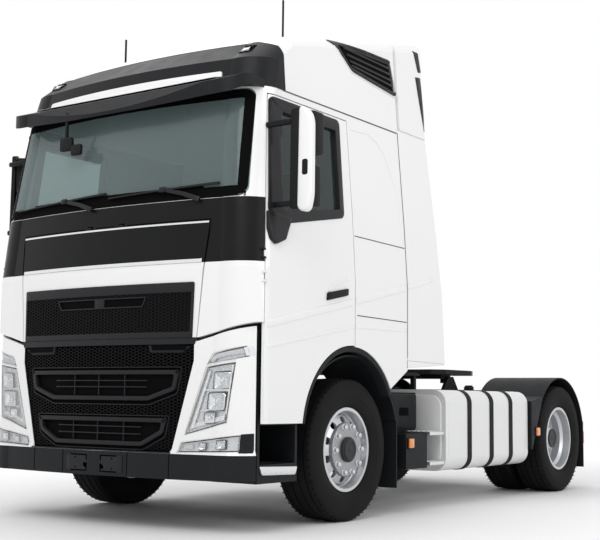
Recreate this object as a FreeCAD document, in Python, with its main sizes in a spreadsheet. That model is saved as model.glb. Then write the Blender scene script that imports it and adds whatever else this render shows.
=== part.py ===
import FreeCAD, Part
import math
import os
from FreeCAD import Vector
import Sketcher

# Two-axle tractor unit with a high-roof cab over the engine.
# Everything is drawn from the front axle: X to the vehicle's left, Y to the rear, Z up from the ground.
# Each sub-part's own placement then moves it so that the middle of the whole length is the origin.

doc = FreeCAD.newDocument("TractorUnit")
sheet = doc.addObject("Spreadsheet::Sheet", "Sizes")

drivingSizes = {
    # running gear
    "wheelbase": 3700, "frontOverhang": 1365, "rearOverhang": 705,
    "tyreRadius": 505, "axleHeight": 505,
    "frontTyreWidth": 312, "frontTyreCentre": 1025,
    "rearTyreWidth": 300, "outerTyreCentre": 1095, "innerTyreCentre": 745,
    "rimRadius": 298, "rimWidth": 250, "rimWall": 10, "wellRadius": 250,
    "tyreSeat": 0.4, "discWall": 14, "frontDishX": 1128, "frontHubEnd": 1176, "hubRadius": 88,
    "handHoleCircle": 208, "handHoleRadius": 27, "handHoleCount": 10,
    "rearDiscX": 920, "rearHubEnd": 1150, "rearHubRadius": 112, 
    "spindleRadius": 40, "spindleEnd": 1105, "rearSpindleRadius": 60, "rearSpindleEnd": 1000,
    "bearingGap": 0.08, "hubInner": 962, "rearHubInner": 610,
    # frame
    "railOuter": 425, "railTop": 950, "railDepth": 266, "railFlange": 90, "railPlate": 8,
    "railFront": -1000, "memberWidth": 120, "memberDepth": 90,
    "engineFront": -820, "engineRear": 430, "engineHalf": 320, "engineLow": 592, "engineTop": 1285,
    "gearboxRear": 1200, "gearboxHalf": 250, "gearboxLow": 600, "gearboxTop": 930, "shaftRadius": 55,
    # front axle and steering
    "kingpinX": 870, "kingpinRadius": 20, "beamHalf": 42, "beamTop": 575, "beamSpring": 480,
    "beamDrop": 490, "beamLow": 395, "earRadius": 42, "earThick": 34, "earGap": 6, "eyeTop": 560, "eyeLow": 465,
    "armReach": 180, "ballRadius": 12, "rodRadius": 16, "rodHeight": 400,
    "springWidth": 90, "springThick": 28, "springReach": 800, "springEye": 640,
    "rearTubeRadius": 75, "diffRadius": 210,
    # fifth wheel
    "couplingAhead": 650, "couplingTop": 1150, "plateHalf": 460, "plateThick": 46, "plateFront": 2690,
    "plateRear": 3500, "kingpinBore": 25.4, "throatHalf": 190, "rockPinZ": 1058, "rockPinRadius": 20,
    "cheekX": 330, "cheekWide": 60, "basePlate": 12,
    # cab form, measured on the outer skin
    "cabHalf": 1245, "scuttleHalf": 1216, "headerHalf": 1156, "roofHalf": 1126, "topHalf": 1090,
    "lowZ": 300, "beltZ": 1700, "scuttleZ": 2180, "headerZ": 2900, "browZ": 3150, "roofFrontZ": 3300,
    "topZ": 3950,
    "lowFront": -1345, "beltFront": -1340, "scuttleFront": -1300, "headerFront": -1190, "browFront": -1120,
    "browHalf": 1137, "roofFront": -930, "topFront": -300, "bowDrop": 80,
    "cornerWide": 265, "cornerDeep": 262, "cabRear": 750, "rearCorner": 60,
    "wall": 50, "skin": 22, "panelGap": 6, "floorLow": 1345, "floorThick": 50, "sideInset": 60,
    "roofRise": 36, "doorFront": -1112, "doorRear": -50, "doorLow": 700, "doorTop": 2880,
    "screenGlass": 6, "sideGlass": 5, "glassInset": 20, "glassGap": 0.3, "glassLap": 25,
    "lidHalfTop": 880, "lidHalfLow": 815, "lidTop": 2020, "lidLow": 1250, "darkLow": 1737, "meshTop": 1605,
    "lidPanel": 26, "lidHingeY": -1313, "lidHingeZ": 2023, "lidPin": 4,
    "hingeX": 1237, "hingeY": -1114, "hingeLean": 4, "hingePin": 4,
    # cab tilt
    "tiltY": -1200, "tiltZ": 900, "tiltPinRadius": 22, "tiltArmIn": 448, "tiltArmOut": 500, "tiltArmSeat": -750,
    # lower front
    "unitTop": 1226, "unitCornerTop": 1326, "unitHalf": 1205, "unitFront": -1345, "bumperTop": 500,
    "bumperLow": 337, "bumperFront": -1365, "unitWall": 30, "grilleSheet": 6, "grilleProud": 4, "slatInset": 12,
    "slatHeight": 10,
    # steps, guards, tank
    "stepFront": -1112, "stepRear": -672, "stepIn": 820, "stepOut": 1188, "stepLow": 320, "stepTop": 1290,
    "guardRadius": 660, "guardWall": 12, "guardIn": 690, "guardOut": 1185,
    "tankFront": 1380, "tankRear": 2980, "tankIn": 560, "tankOut": 1215, "tankLow": 290, "tankTop": 945,
    "tankCorner": 110, "strapWide": 70, "strapThick": 6,
    "mirrorFold": 62, "catwalkTop": 1100, "catwalkFront": 1480, "catwalkRear": 2380,
    "steerWheelRadius": 215, "steerWheelGrip": 13, "intakeDepth": 14,
    "rearGuardRadius": 575, "rearGuardIn": 575, "rearGuardOut": 1243,
}


class Size:
    """A length that knows its value and the spreadsheet words it comes from."""

    def __init__(self, value, text):
        self.value = value
        self.text = text

    def joined(self, sign, other, value):
        return Size(value, f"({self.text} {sign} {sized(other).text})")

    def __add__(self, other):
        return self.joined("+", other, self.value + float(other))

    def __sub__(self, other):
        return self.joined("-", other, self.value - float(other))

    def __mul__(self, other):
        return self.joined("*", other, self.value * float(other))

    def __truediv__(self, other):
        return self.joined("/", other, self.value / float(other))

    def __neg__(self):
        return Size(-self.value, f"(0 - {self.text})")

    def __radd__(self, other):
        return sized(other) + self

    def __rsub__(self, other):
        return sized(other) - self

    def __rmul__(self, other):
        return sized(other) * self

    def __float__(self):
        return float(self.value)


def sized(value):
    return value if isinstance(value, Size) else Size(float(value), str(value))


class Sizes:
    pass


s = Sizes()
for row, (alias, value) in enumerate(drivingSizes.items(), 1):
    sheet.set(f"A{row}", alias)
    sheet.set(f"B{row}", str(value))
    sheet.setAlias(f"B{row}", alias)
doc.recompute()
for alias in drivingSizes:
    setattr(s, alias, Size(float(sheet.get(alias)), f"Sizes.{alias}"))

couplingY = s.wheelbase - s.couplingAhead
axlePlace = (s.frontOverhang - s.wheelbase - s.rearOverhang) / 2
nodes = []


def bind(piece, prop, value):
    if isinstance(value, Size):
        piece.setExpression(prop, value.text)
    else:
        setattr(piece, prop, value)


def bindPlace(piece, x, y, z):
    for letter, value in zip("xyz", (x, y, z)):
        piece.setExpression(f"Placement.Base.{letter}", sized(value).text)


def box(name, x, y, z):
    piece = doc.addObject("Part::Box", name)
    for prop, (low, high) in zip(("Length", "Width", "Height"), (x, y, z)):
        bind(piece, prop, sized(high) - low)
    bindPlace(piece, x[0], y[0], z[0])
    return piece


turns = {
    "x": FreeCAD.Rotation(Vector(0, 1, 0), 90),
    "y": FreeCAD.Rotation(Vector(1, 0, 0), -90),
    "z": FreeCAD.Rotation(),
}


def rod(name, axis, at, radius, length):
    piece = doc.addObject("Part::Cylinder", name)
    bind(piece, "Radius", sized(radius))
    bind(piece, "Height", sized(length))
    piece.Placement.Rotation = turns[axis]
    bindPlace(piece, *at)
    return piece


def plain(name, shape):
    piece = doc.addObject("Part::Feature", name)
    piece.Shape = shape
    return piece


def cut(name, base, *tools):
    for count, tool in enumerate(tools):
        piece = doc.addObject("Part::Cut", f"{name}{count or ''}")
        piece.Base = base
        piece.Tool = tool
        base = piece
    return base


def fused(name, *pieces):
    piece = doc.addObject("Part::MultiFuse", name)
    piece.Shapes = list(pieces)
    piece.Refine = True
    return piece


def mirrored(piece):
    twin = doc.addObject("Part::Mirroring", f"{piece.Name}Right")
    twin.Source = piece
    twin.Base = (0, 0, 0)
    twin.Normal = (1, 0, 0)
    return twin


def both(*pieces):
    return [twin for piece in pieces for twin in (piece, mirrored(piece))]


def node(label, *pieces):
    group = doc.addObject("Part::Compound", "node_" + label)
    group.Links = list(pieces)
    group.Label = label
    group.setExpression("Placement.Base.y", axlePlace.text)
    nodes.append(group)


def originPlane(body, role):
    return next(item for item in body.Origin.OriginFeatures if item.Role == role)


def drawn(body, name, role, points):
    sketch = body.newObject("Sketcher::SketchObject", name)
    sketch.AttachmentSupport = [(originPlane(body, role), "")]
    sketch.MapMode = "FlatFace"
    places = [Vector(float(x), float(y), 0) for x, y in points]
    count = len(places)
    for index in range(count):
        sketch.addGeometry(Part.LineSegment(places[index], places[(index + 1) % count]), False)
    for index in range(count):
        sketch.addConstraint(Sketcher.Constraint("Coincident", index, 2, (index + 1) % count, 1))
    for index, corner in enumerate(points):
        for kind, value in zip(("DistanceX", "DistanceY"), corner):
            label = f"{kind[-1].lower()}{index}"
            number = sketch.addConstraint(Sketcher.Constraint(kind, -1, 1, index, 1, float(value)))
            sketch.renameConstraint(number, label)
            if isinstance(value, Size):
                sketch.setExpression(f"Constraints.{label}", value.text)
    return sketch


def sideProfile(name, points, low, high):
    """An outline in the Y-Z plane, padded along X from low to high."""
    body = doc.addObject("PartDesign::Body", name)
    sketch = drawn(body, name + "Outline", "YZ_Plane", points)
    pad = body.newObject("PartDesign::Pad", name + "Pad")
    pad.Profile = sketch
    bind(pad, "Length", sized(high) - low)
    body.setExpression("Placement.Base.x", sized(low).text)
    return body


def frontProfile(name, points, low, high):
    """An outline in the X-Z plane, padded along Y from low to high."""
    body = doc.addObject("PartDesign::Body", name)
    sketch = drawn(body, name + "Outline", "XZ_Plane", points)
    pad = body.newObject("PartDesign::Pad", name + "Pad")
    pad.Profile = sketch
    pad.Reversed = True
    bind(pad, "Length", sized(high) - low)
    body.setExpression("Placement.Base.y", sized(low).text)
    return body


def planProfile(name, points, low, high):
    """An outline in the X-Y plane, padded up from low to high."""
    body = doc.addObject("PartDesign::Body", name)
    sketch = drawn(body, name + "Outline", "XY_Plane", points)
    pad = body.newObject("PartDesign::Pad", name + "Pad")
    pad.Profile = sketch
    bind(pad, "Length", sized(high) - low)
    body.setExpression("Placement.Base.z", sized(low).text)
    return body


def turned(name, points, centre):
    """Points as (x along the axle, radius), turned about the axle line through centre (y, z)."""
    body = doc.addObject("PartDesign::Body", name)
    sketch = drawn(body, name + "Section", "XZ_Plane", points)
    spin = body.newObject("PartDesign::Revolution", name + "Turn")
    spin.Profile = sketch
    spin.ReferenceAxis = (sketch, ["H_Axis"])
    spin.Angle = 360
    body.setExpression("Placement.Base.y", sized(centre[0]).text)
    body.setExpression("Placement.Base.z", sized(centre[1]).text)
    return body


def roundedWire(points, radius):
    """A closed polygon whose corners become arcs; radius is one value or one for each corner."""
    count = len(points)
    radii = radius if isinstance(radius, (list, tuple)) else [radius] * count
    edges = []
    starts = []
    ends = []
    for index, corner in enumerate(points):
        before = (points[index - 1] - corner).normalize()
        after = (points[(index + 1) % count] - corner).normalize()
        half = before.getAngle(after) / 2
        reach = radii[index] / math.tan(half)
        starts.append(corner + before * reach)
        ends.append(corner + after * reach)
        inward = (before + after).normalize()
        crown = corner + inward * (radii[index] / math.sin(half) - radii[index])
        if radii[index] > 0:
            edges.append(Part.Arc(starts[-1], crown, ends[-1]).toShape())
        else:
            edges.append(None)
    loop = []
    for index in range(count):
        if edges[index]:
            loop.append(edges[index])
        loop.append(Part.LineSegment(ends[index], starts[(index + 1) % count]).toShape())
    return Part.Wire(loop)


def sidePrism(points, low, high, radius=0):
    wire = roundedWire([Vector(float(low), float(y), float(z)) for y, z in points], radius)
    return Part.Face(wire).extrude(Vector(float(high) - float(low), 0, 0))


def frontPrism(points, radius=0, low=-2500, high=0):
    wire = roundedWire([Vector(float(x), low, float(z)) for x, z in points], radius)
    return Part.Face(wire).extrude(Vector(0, high - low, 0))


def brick(x, y, z):
    corner = Vector(float(x[0]), float(y[0]), float(z[0]))
    reach = Vector(float(x[1]), float(y[1]), float(z[1])) - corner
    return Part.makeBox(reach.x, reach.y, reach.z, corner)


def flipped(shape):
    return shape.mirror(Vector(0, 0, 0), Vector(1, 0, 0))


def planSection(z, half, front, inset, rear=None):
    half = float(half) - inset
    front = float(front) + inset
    rear = (float(s.cabRear) if rear is None else float(rear)) - inset
    bowX = half - float(s.cornerWide)
    bowY = front + float(s.bowDrop)
    sideY = front + float(s.cornerDeep)
    lean = math.sqrt(0.5)
    cornerX = bowX + lean * float(s.cornerWide)
    cornerY = sideY - lean * (sideY - bowY)
    rear0 = rear - float(s.rearCorner)
    half0 = half - float(s.rearCorner)
    turn = (1 - lean) * float(s.rearCorner)

    def at(x, y):
        return Vector(x, y, z)

    edges = [
        Part.Arc(at(-bowX, bowY), at(0, front), at(bowX, bowY)).toShape(),
        Part.Arc(at(bowX, bowY), at(cornerX, cornerY), at(half, sideY)).toShape(),
        Part.LineSegment(at(half, sideY), at(half, rear0)).toShape(),
        Part.Arc(at(half, rear0), at(half - turn, rear - turn), at(half0, rear)).toShape(),
        Part.LineSegment(at(half0, rear), at(-half0, rear)).toShape(),
        Part.Arc(at(-half0, rear), at(-half + turn, rear - turn), at(-half, rear0)).toShape(),
        Part.LineSegment(at(-half, rear0), at(-half, sideY)).toShape(),
        Part.Arc(at(-half, sideY), at(-cornerX, cornerY), at(-bowX, bowY)).toShape(),
    ]
    return Part.Wire(edges)


def cabLevels():
    return [
        (s.lowZ, s.cabHalf, s.lowFront), (s.beltZ, s.cabHalf, s.beltFront),
        (s.scuttleZ, s.scuttleHalf, s.scuttleFront), (s.headerZ, s.headerHalf, s.headerFront),
        (s.browZ, s.browHalf, s.browFront), (s.roofFrontZ, s.roofHalf, s.roofFront),
        (s.topZ, s.topHalf, s.topFront),
    ]


def roofSection(y, top, inset):
    radius = 120.0
    top = top - inset
    edge = float(s.topZ) - float(s.headerZ)
    slope = (float(s.headerHalf) - float(s.topHalf)) / edge

    def half(z):
        return float(s.headerHalf) - slope * (z - float(s.headerZ)) + 2 - inset

    outer = 1500.0
    base = 2500.0
    points = [
        Vector(-outer, y, 0), Vector(outer, y, 0), Vector(outer, y, base), Vector(half(base), y, base),
        Vector(half(top - radius), y, top - radius),
    ]
    right = [Vector(-p.x, p.y, p.z) for p in reversed(points[2:])]
    edges = [Part.LineSegment(a, b).toShape() for a, b in zip(points, points[1:])]
    inner = half(top) - radius
    lean = math.sqrt(0.5)
    crown = Vector(inner + lean * radius, y, top - radius + lean * radius)
    crest = Vector(inner, y, top)
    left = Vector(-inner, y, top)
    edges.append(Part.Arc(points[-1], crown, crest).toShape())
    edges.append(Part.Arc(crest, Vector(0, y, top + 25), left).toShape())
    edges.append(Part.Arc(left, Vector(-crown.x, y, crown.z), right[0]).toShape())
    edges += [Part.LineSegment(a, b).toShape() for a, b in zip(right, right[1:])]
    edges.append(Part.LineSegment(right[-1], points[0]).toShape())
    return Part.Wire(edges)


roofLine = [(-1500, 3100), (-1000, 3290), (-800, 3345), (-350, 3455), (650, 3680), (1400, 3850)]
formCache = {}


def sideForm(inset=0.0, rear=None):
    """The cab's outer form up to an open top, drawn in by inset all round."""
    key = (inset, rear)
    if key not in formCache:
        levels = [planSection(float(z), half, front, inset, rear) for z, half, front in cabLevels()]
        formCache[key] = Part.makeLoft(levels, True, True)
    return formCache[key]


def cabForm(inset=0.0, rear=None):
    """The same form closed by the roof."""
    roof = Part.makeLoft([roofSection(y, z, inset) for y, z in roofLine], True, True)
    return sideForm(inset, rear).common(roof)


def skinOf(outer, inner, low=0, high=3000, front=-2500, rear=2500):
    """The wall between two forms, between two heights."""
    return band(sideForm(outer), low, high, front, rear).cut(sideForm(inner))


def band(shape, low, high, front=-2500, rear=2500):
    return shape.common(brick((-1600, 1600), (front, rear), (low, high)))


# Frame

def makeFrame():
    top = s.railTop
    low = s.railTop - s.railDepth
    web = s.railOuter - s.railPlate
    lip = s.railOuter - s.railFlange
    rail = frontProfile("railLeft", [
        (s.railOuter, top), (lip, top), (lip, top - s.railPlate), (web, top - s.railPlate),
        (web, low + s.railPlate), (lip, low + s.railPlate), (lip, low), (s.railOuter, low),
    ], s.railFront, s.wheelbase + s.rearOverhang - 60)
    node("frame_rails", *both(rail))
    members = []
    for name, y in (("memberFront", s.gearboxRear + 90), ("memberMiddle", couplingY - 500),
                    ("memberAxle", s.wheelbase + 250)):
        members.append(box(name, (-web, web), (y, y + s.memberWidth),
                           (top - s.railPlate - s.memberDepth, top - s.railPlate)))
    rear = s.wheelbase + s.rearOverhang
    members.append(box("memberRear", (-s.railOuter, s.railOuter), (rear - 60, rear - 12), (low, top)))
    beam = box("underrunBeam", (-700, 700), (s.tiltY - 50, s.tiltY), (420, 600))
    outrigger = box("stepCarrier", (640, s.stepIn), (s.tiltY - 10, s.stepFront + 110), (450, 560))
    lip = s.railOuter - s.railFlange
    bracket = box("tiltBracket", (lip, s.tiltArmIn - 6), (s.tiltY - 50, s.railFront), (420, s.tiltZ + 50))
    pin = rod("tiltPin", "x", (s.tiltArmIn - 8, s.tiltY, s.tiltZ), s.tiltPinRadius,
              s.tiltArmOut - s.tiltArmIn + 12)
    tower = box("rearMount", (lip, s.railOuter), (560, 660), (s.railTop, s.floorLow - 8))
    underrun = fused("frontUnderrun", beam, *both(bracket, pin, outrigger, noseArm()))
    node("crossmembers", *members, underrun, *both(tower))


def noseArm():
    """Carrier between the underrun beam and the backs of the bumper and the grille."""
    gap = float(s.glassGap)
    arm = brick((280, 340), (-2000, float(s.tiltY) - 45), (430, 600))
    return plain("noseArm", arm.common(lowerForm(float(s.unitWall) + gap)))


def makeDriveline():
    engine = box("engineMass", (-s.engineHalf, s.engineHalf), (s.engineFront, s.engineRear),
                 (s.engineLow, s.engineTop))
    lug = box("engineLug", (s.engineHalf - 5, s.railOuter - s.railFlange), (-150, 50),
              (s.railTop - s.railDepth, s.railTop))
    node("engine_block", fused("engineBlock", engine, *both(lug)))
    gearbox = box("gearboxCase", (-s.gearboxHalf, s.gearboxHalf), (s.engineRear, s.gearboxRear),
                  (s.gearboxLow, s.gearboxTop))
    start = Vector(0, float(s.gearboxRear) - 20, 760)
    end = Vector(0, float(s.wheelbase - s.diffRadius) + 0.6, float(s.axleHeight) + 20)
    run = end - start
    shaft = plain("propShaft", Part.makeCylinder(float(s.shaftRadius), run.Length, start, run))
    radiator = box("radiatorCore", (s.railFlange - s.railOuter, s.railOuter - s.railFlange), (-1150, -1010),
                   (500, 1200))
    node("driveline", fused("gearboxAndShaft", gearbox, shaft), radiator)


def makeFrontAxle():
    beam = frontProfile("axleBeam", [
        (-s.kingpinX, s.eyeTop), (-440, s.beamTop), (-320, s.beamTop), (-250, s.beamDrop), (250, s.beamDrop),
        (320, s.beamTop), (440, s.beamTop), (s.kingpinX, s.eyeTop), (s.kingpinX, s.eyeLow),
        (440, s.beamSpring), (280, s.beamLow), (-280, s.beamLow), (-440, s.beamSpring), (-s.kingpinX, s.eyeLow),
    ], -s.beamHalf, s.beamHalf)
    eye = rod("axleEye", "z", (s.kingpinX, 0, s.eyeLow), s.earRadius, s.eyeTop - s.eyeLow)
    pin = rod("kingpin", "z", (s.kingpinX, 0, s.eyeLow - s.earGap - s.earThick), s.kingpinRadius,
              s.eyeTop - s.eyeLow + 2 * s.earGap + 2 * s.earThick)
    node("front_axle", fused("frontAxle", beam, *both(eye, pin)))


def makeFrontSprings():
    low = float(s.beamTop)
    thick = float(s.springThick)
    reach = float(s.springReach)
    eye = float(s.springEye)
    x = float(s.railOuter - s.railFlange)

    def at(y, z):
        return Vector(x, y, z)

    lower = Part.Arc(at(-reach, eye), at(0, low), at(reach, eye)).toShape()
    upper = Part.Arc(at(reach, eye + thick), at(0, low + thick), at(-reach, eye + thick)).toShape()
    ends = [Part.LineSegment(at(reach, eye), at(reach, eye + thick)).toShape(),
            Part.LineSegment(at(-reach, eye + thick), at(-reach, eye)).toShape()]
    leaf = Part.Face(Part.Wire([lower, ends[0], upper, ends[1]])).extrude(Vector(float(s.springWidth), 0, 0))
    spring = plain("springLeaf", leaf)
    hangers = []
    for name, y in (("hangerFront", -s.springReach), ("hangerRear", s.springReach)):
        hangers.append(box(name, (s.railOuter - s.railFlange, s.railOuter), (y - 40, y + 40),
                           (s.springEye - 20, s.railTop - s.railDepth)))
    return both(fused("springLeft", spring, *hangers))


def makeRearAxle():
    y = s.wheelbase
    z = s.axleHeight
    tube = rod("rearTube", "x", (-s.rearHubInner + 12, y, z), s.rearTubeRadius, 2 * s.rearHubInner - 24)
    spindle = rod("rearSpindle", "x", (-s.rearSpindleEnd, y, z), s.rearSpindleRadius, 2 * s.rearSpindleEnd)
    bulge = doc.addObject("Part::Sphere", "diffHousing")
    bind(bulge, "Radius", s.diffRadius)
    bulge.Placement.Rotation = FreeCAD.Rotation(Vector(0, 0, 1), 90)
    bindPlace(bulge, 0, y, z)
    node("rear_axle", fused("rearAxle", tube, spindle, bulge))
    arm = sideProfile("springArm", [
        (y - 700, s.railTop - s.railDepth), (y - 780, s.railTop - s.railDepth), (y - 780, 560), (y - 700, 540),
        (y + 90, 590), (y + 460, 560), (y + 460, 600), (y + 90, 640), (y - 90, 640), (y - 700, 600),
    ], s.railOuter - s.railFlange, s.railOuter)
    bag = rod("airBag", "z", (s.railOuter - 45, y + 380, 590), 44, s.railTop - s.railDepth - 590)
    node("suspension", *makeFrontSprings(), *both(fused("rearArmLeft", arm, bag)))


# Wheels

def rimPoints(centre, half, radius, well, wall):
    """Barrel section, from the inner flange over the well to the outer flange and back."""
    return [
        (centre - half, radius), (centre - half + wall, radius), (centre - half + wall, radius - 12),
        (centre - half + 60, radius - 18), (centre - half + 85, well + 6), (centre + half - 95, well + 6),
        (centre + half - 70, radius - 18), (centre + half - wall, radius - 12), (centre + half - wall, radius),
        (centre + half, radius), (centre + half, radius - 12 - wall), (centre + half - 68, radius - 28),
        (centre + half - 92, well - 4), (centre - half + 82, well - 4), (centre - half + 58, radius - 28),
        (centre - half, radius - 12 - wall),
    ]


def tyrePoints(centre, half, rimHalf, radius, bead, seat, wall):
    grip = rimHalf - wall - seat
    return [
        (centre - grip, bead - 12 + seat), (centre - grip, bead + 4), (centre - rimHalf - 4, bead + 8),
        (centre - half, bead + 95), (centre - half + 5, radius - 50), (centre - half + 26, radius - 4),
        (centre - half + 60, radius), (centre + half - 60, radius), (centre + half - 26, radius - 4),
        (centre + half - 5, radius - 50), (centre + half, bead + 95), (centre + rimHalf + 4, bead + 8),
        (centre + grip, bead + 4), (centre + grip, bead - 12 + seat),
    ]


def holesRound(name, y, count, circle, radius, low, length):
    """Round holes through a wheel disc, spread evenly about the axle line."""
    drills = []
    for index in range(count):
        angle = 2 * math.pi * index / count
        drills.append(rod(f"{name}{index}", "x", (low, y + math.sin(angle) * circle,
                                                    s.axleHeight + math.cos(angle) * circle), radius, length))
    group = doc.addObject("Part::Compound", name + "Drills")
    group.Links = drills
    return group


def makeFrontWheels():
    half = s.rimWidth / 2
    centre = s.frontTyreCentre
    rim = turned("frontBarrel", rimPoints(centre, half, s.rimRadius, s.wellRadius, s.rimWall), (0, s.axleHeight))
    nave = s.frontDishX
    disc = turned("frontDisc", [
        (s.hubInner, s.spindleRadius + s.bearingGap), (s.hubInner, s.hubRadius), (nave - s.discWall, s.hubRadius),
        (nave - s.discWall, 178), (nave - 52, 236), (centre + 10, s.wellRadius - 3), (centre + 32, s.wellRadius - 3),
        (nave - 34, 243), (nave, 186), (nave, s.hubRadius + 55), (nave + 26, s.hubRadius + 50),
        (nave + 26, s.hubRadius), (s.frontHubEnd, s.hubRadius - 12), (s.frontHubEnd, 0),
        (s.spindleEnd + 6, 0), (s.spindleEnd + 6, s.spindleRadius + s.bearingGap),
    ], (0, s.axleHeight))
    drills = holesRound("frontHole", 0, int(float(s.handHoleCount)), s.handHoleCircle, s.handHoleRadius,
                        centre, 200)
    whole = fused("frontRim", rim, cut("frontNave", disc, drills))
    node("rim_front_left", whole)
    node("rim_front_right", mirrored(whole))
    tyre = turned("frontTyre", tyrePoints(centre, s.frontTyreWidth / 2, half, s.tyreRadius, s.rimRadius,
                                          s.tyreSeat, s.rimWall), (0, s.axleHeight))
    node("tyre_front_left", tyre)
    node("tyre_front_right", mirrored(tyre))


def makeRearWheels():
    half = s.rimWidth / 2
    y = s.wheelbase
    at = (y, s.axleHeight)
    outer = turned("outerBarrel", rimPoints(s.outerTyreCentre, half, s.rimRadius, s.wellRadius, s.rimWall), at)
    inner = turned("innerBarrel", rimPoints(s.innerTyreCentre, half, s.rimRadius, s.wellRadius, s.rimWall), at)
    nave = s.rearDiscX
    well = s.wellRadius - 3
    outerRoot = s.outerTyreCentre - half + 88
    innerRoot = s.innerTyreCentre + half - 102
    disc = turned("rearDisc", [
        (s.rearHubInner, s.rearSpindleRadius + s.bearingGap), (s.rearHubInner, s.rearHubRadius - 12),
        (nave - s.discWall, s.rearHubRadius - 12), (nave - s.discWall, 190), (innerRoot, well - 4),
        (innerRoot, well), (innerRoot + 24, well), (nave, 206), (outerRoot - 24, well), (outerRoot, well),
        (outerRoot, well - 4), (nave + s.discWall, 190), (nave + s.discWall, s.rearHubRadius + 40),
        (nave + s.discWall, s.rearHubRadius), (s.rearHubEnd - 20, s.rearHubRadius - 6),
        (s.rearHubEnd, s.rearHubRadius - 30), (s.rearHubEnd, 0), (s.rearSpindleEnd + 6, 0),
        (s.rearSpindleEnd + 6, s.rearSpindleRadius + s.bearingGap),
    ], at)
    whole = fused("rearRims", outer, inner, disc)
    node("rims_rear_left", whole)
    node("rims_rear_right", mirrored(whole))
    tyres = []
    for name, centre in (("outerTyre", s.outerTyreCentre), ("innerTyre", s.innerTyreCentre)):
        tyres.append(turned(name, tyrePoints(centre, s.rearTyreWidth / 2, half, s.tyreRadius, s.rimRadius,
                                             s.tyreSeat, s.rimWall), at))
    node("tyres_rear_left", *tyres)
    node("tyres_rear_right", *[mirrored(tyre) for tyre in tyres])


def makeKnuckles():
    x = s.kingpinX
    lowEar = s.eyeLow - s.earGap - s.earThick
    highEar = s.eyeTop + s.earGap
    web = box("knuckleWeb", (x + 52, x + 88), (-60, 60), (lowEar, highEar + s.earThick))
    pieces = [web]
    for name, z in (("earLow", lowEar), ("earHigh", highEar)):
        pieces.append(rod(name, "z", (x, 0, z), s.earRadius, s.earThick))
        pieces.append(box(name + "Arm", (x, x + 60), (-s.earRadius, s.earRadius), (z, z + s.earThick)))
    pieces.append(rod("spindle", "x", (x + 80, 0, s.axleHeight), s.spindleRadius, s.spindleEnd - x - 80))
    pieces.append(box("steerArm", (x - 22, x + 22), (0, s.armReach), (lowEar, lowEar + s.earThick)))
    pieces.append(rod("armBoss", "z", (x, s.armReach, lowEar), 26, s.earThick))
    pieces.append(rod("ballStud", "z", (x, s.armReach, s.rodHeight - 18), s.ballRadius,
                      lowEar - s.rodHeight + 20))
    bore = rod("kingpinHole", "z", (x, 0, lowEar - 10), s.kingpinRadius + s.bearingGap,
               highEar + s.earThick - lowEar + 20)
    knuckle = cut("knuckleLeft", fused("knuckleWhole", *pieces), bore)
    node("knuckle_left", knuckle)
    node("knuckle_right", mirrored(knuckle))
    bar = rod("tieBar", "x", (26 - x, s.armReach, s.rodHeight), s.rodRadius, 2 * x - 52)
    eye = rod("tieEye", "z", (x, s.armReach, s.rodHeight - 18), 28, 34)
    hole = rod("tieEyeHole", "z", (x, s.armReach, s.rodHeight - 30), s.ballRadius + s.bearingGap, 60)
    whole = fused("tieRodWhole", bar, *both(eye))
    node("tie_rod", cut("tieRod", whole, hole, mirrored(hole)))


# Fifth wheel

def makeFifthWheel():
    y = couplingY
    top = s.couplingTop
    wide = s.plateHalf
    throat = s.throatHalf
    jaw = s.kingpinBore
    outline = [
        (-wide + 90, s.plateFront), (wide - 90, s.plateFront), (wide, s.plateFront + 130),
        (wide, s.plateRear - 160), (wide - 60, s.plateRear), (throat, s.plateRear), (jaw, y + 90), (jaw, y),
        (-jaw, y), (-jaw, y + 90), (-throat, s.plateRear), (60 - wide, s.plateRear),
        (-wide, s.plateRear - 160), (-wide, s.plateFront + 130),
    ]
    plate = planProfile("couplingDisc", outline, top - s.plateThick, top)
    ribs = box("couplingRib", (-s.cheekX - s.cheekWide / 2, s.cheekX + s.cheekWide / 2), (y - 140, y - 60),
               (top - s.plateThick - 40, top - s.plateThick))
    ear = box("rockEar", (s.cheekX - 24, s.cheekX + 24), (y - 60, y + 60), (s.rockPinZ - 34, top - s.plateThick))
    hole = rod("jawHole", "z", (0, y, top - 200), jaw, 300)
    pinHole = rod("rockHole", "x", (-600, y, s.rockPinZ), s.rockPinRadius + s.bearingGap, 1200)
    whole = fused("couplingWhole", plate, ribs, *both(ear))
    node("fifth_wheel_plate", cut("couplingPlate", whole, hole, pinHole))
    base = box("couplingBase", (-s.railOuter, s.railOuter), (y - 260, y + 260),
               (s.railTop, s.railTop + s.basePlate))
    cheek = sideProfile("couplingCheek", [
        (y - 150, s.railTop + s.basePlate), (y + 150, s.railTop + s.basePlate), (y + 50, s.rockPinZ + 28),
        (y - 50, s.rockPinZ + 28),
    ], s.cheekX + 32, s.cheekX + 32 + 30)
    pin = rod("rockPin", "x", (s.cheekX - 22, y, s.rockPinZ), s.rockPinRadius, 74)
    node("fifth_wheel_base", fused("couplingStand", base, *both(cheek, pin)))


# Cab

def archPrism(margin, low=-1600, high=1600):
    """Front wheel arch seen from the side, as three points of its edge."""
    start = Vector(low, -690 - margin, 640)
    crown = Vector(low, -90, 1232 + margin)
    end = Vector(low, 480 + margin, 900)
    arc = Part.Arc(start, crown, end).toShape()
    foot = Vector(low, 480 + margin, 0)
    heel = Vector(low, -690 - margin, 0)
    lines = [Part.LineSegment(a, b).toShape() for a, b in ((end, foot), (foot, heel), (heel, start))]
    return Part.Face(Part.Wire([arc] + lines)).extrude(Vector(high - low, 0, 0))


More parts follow.
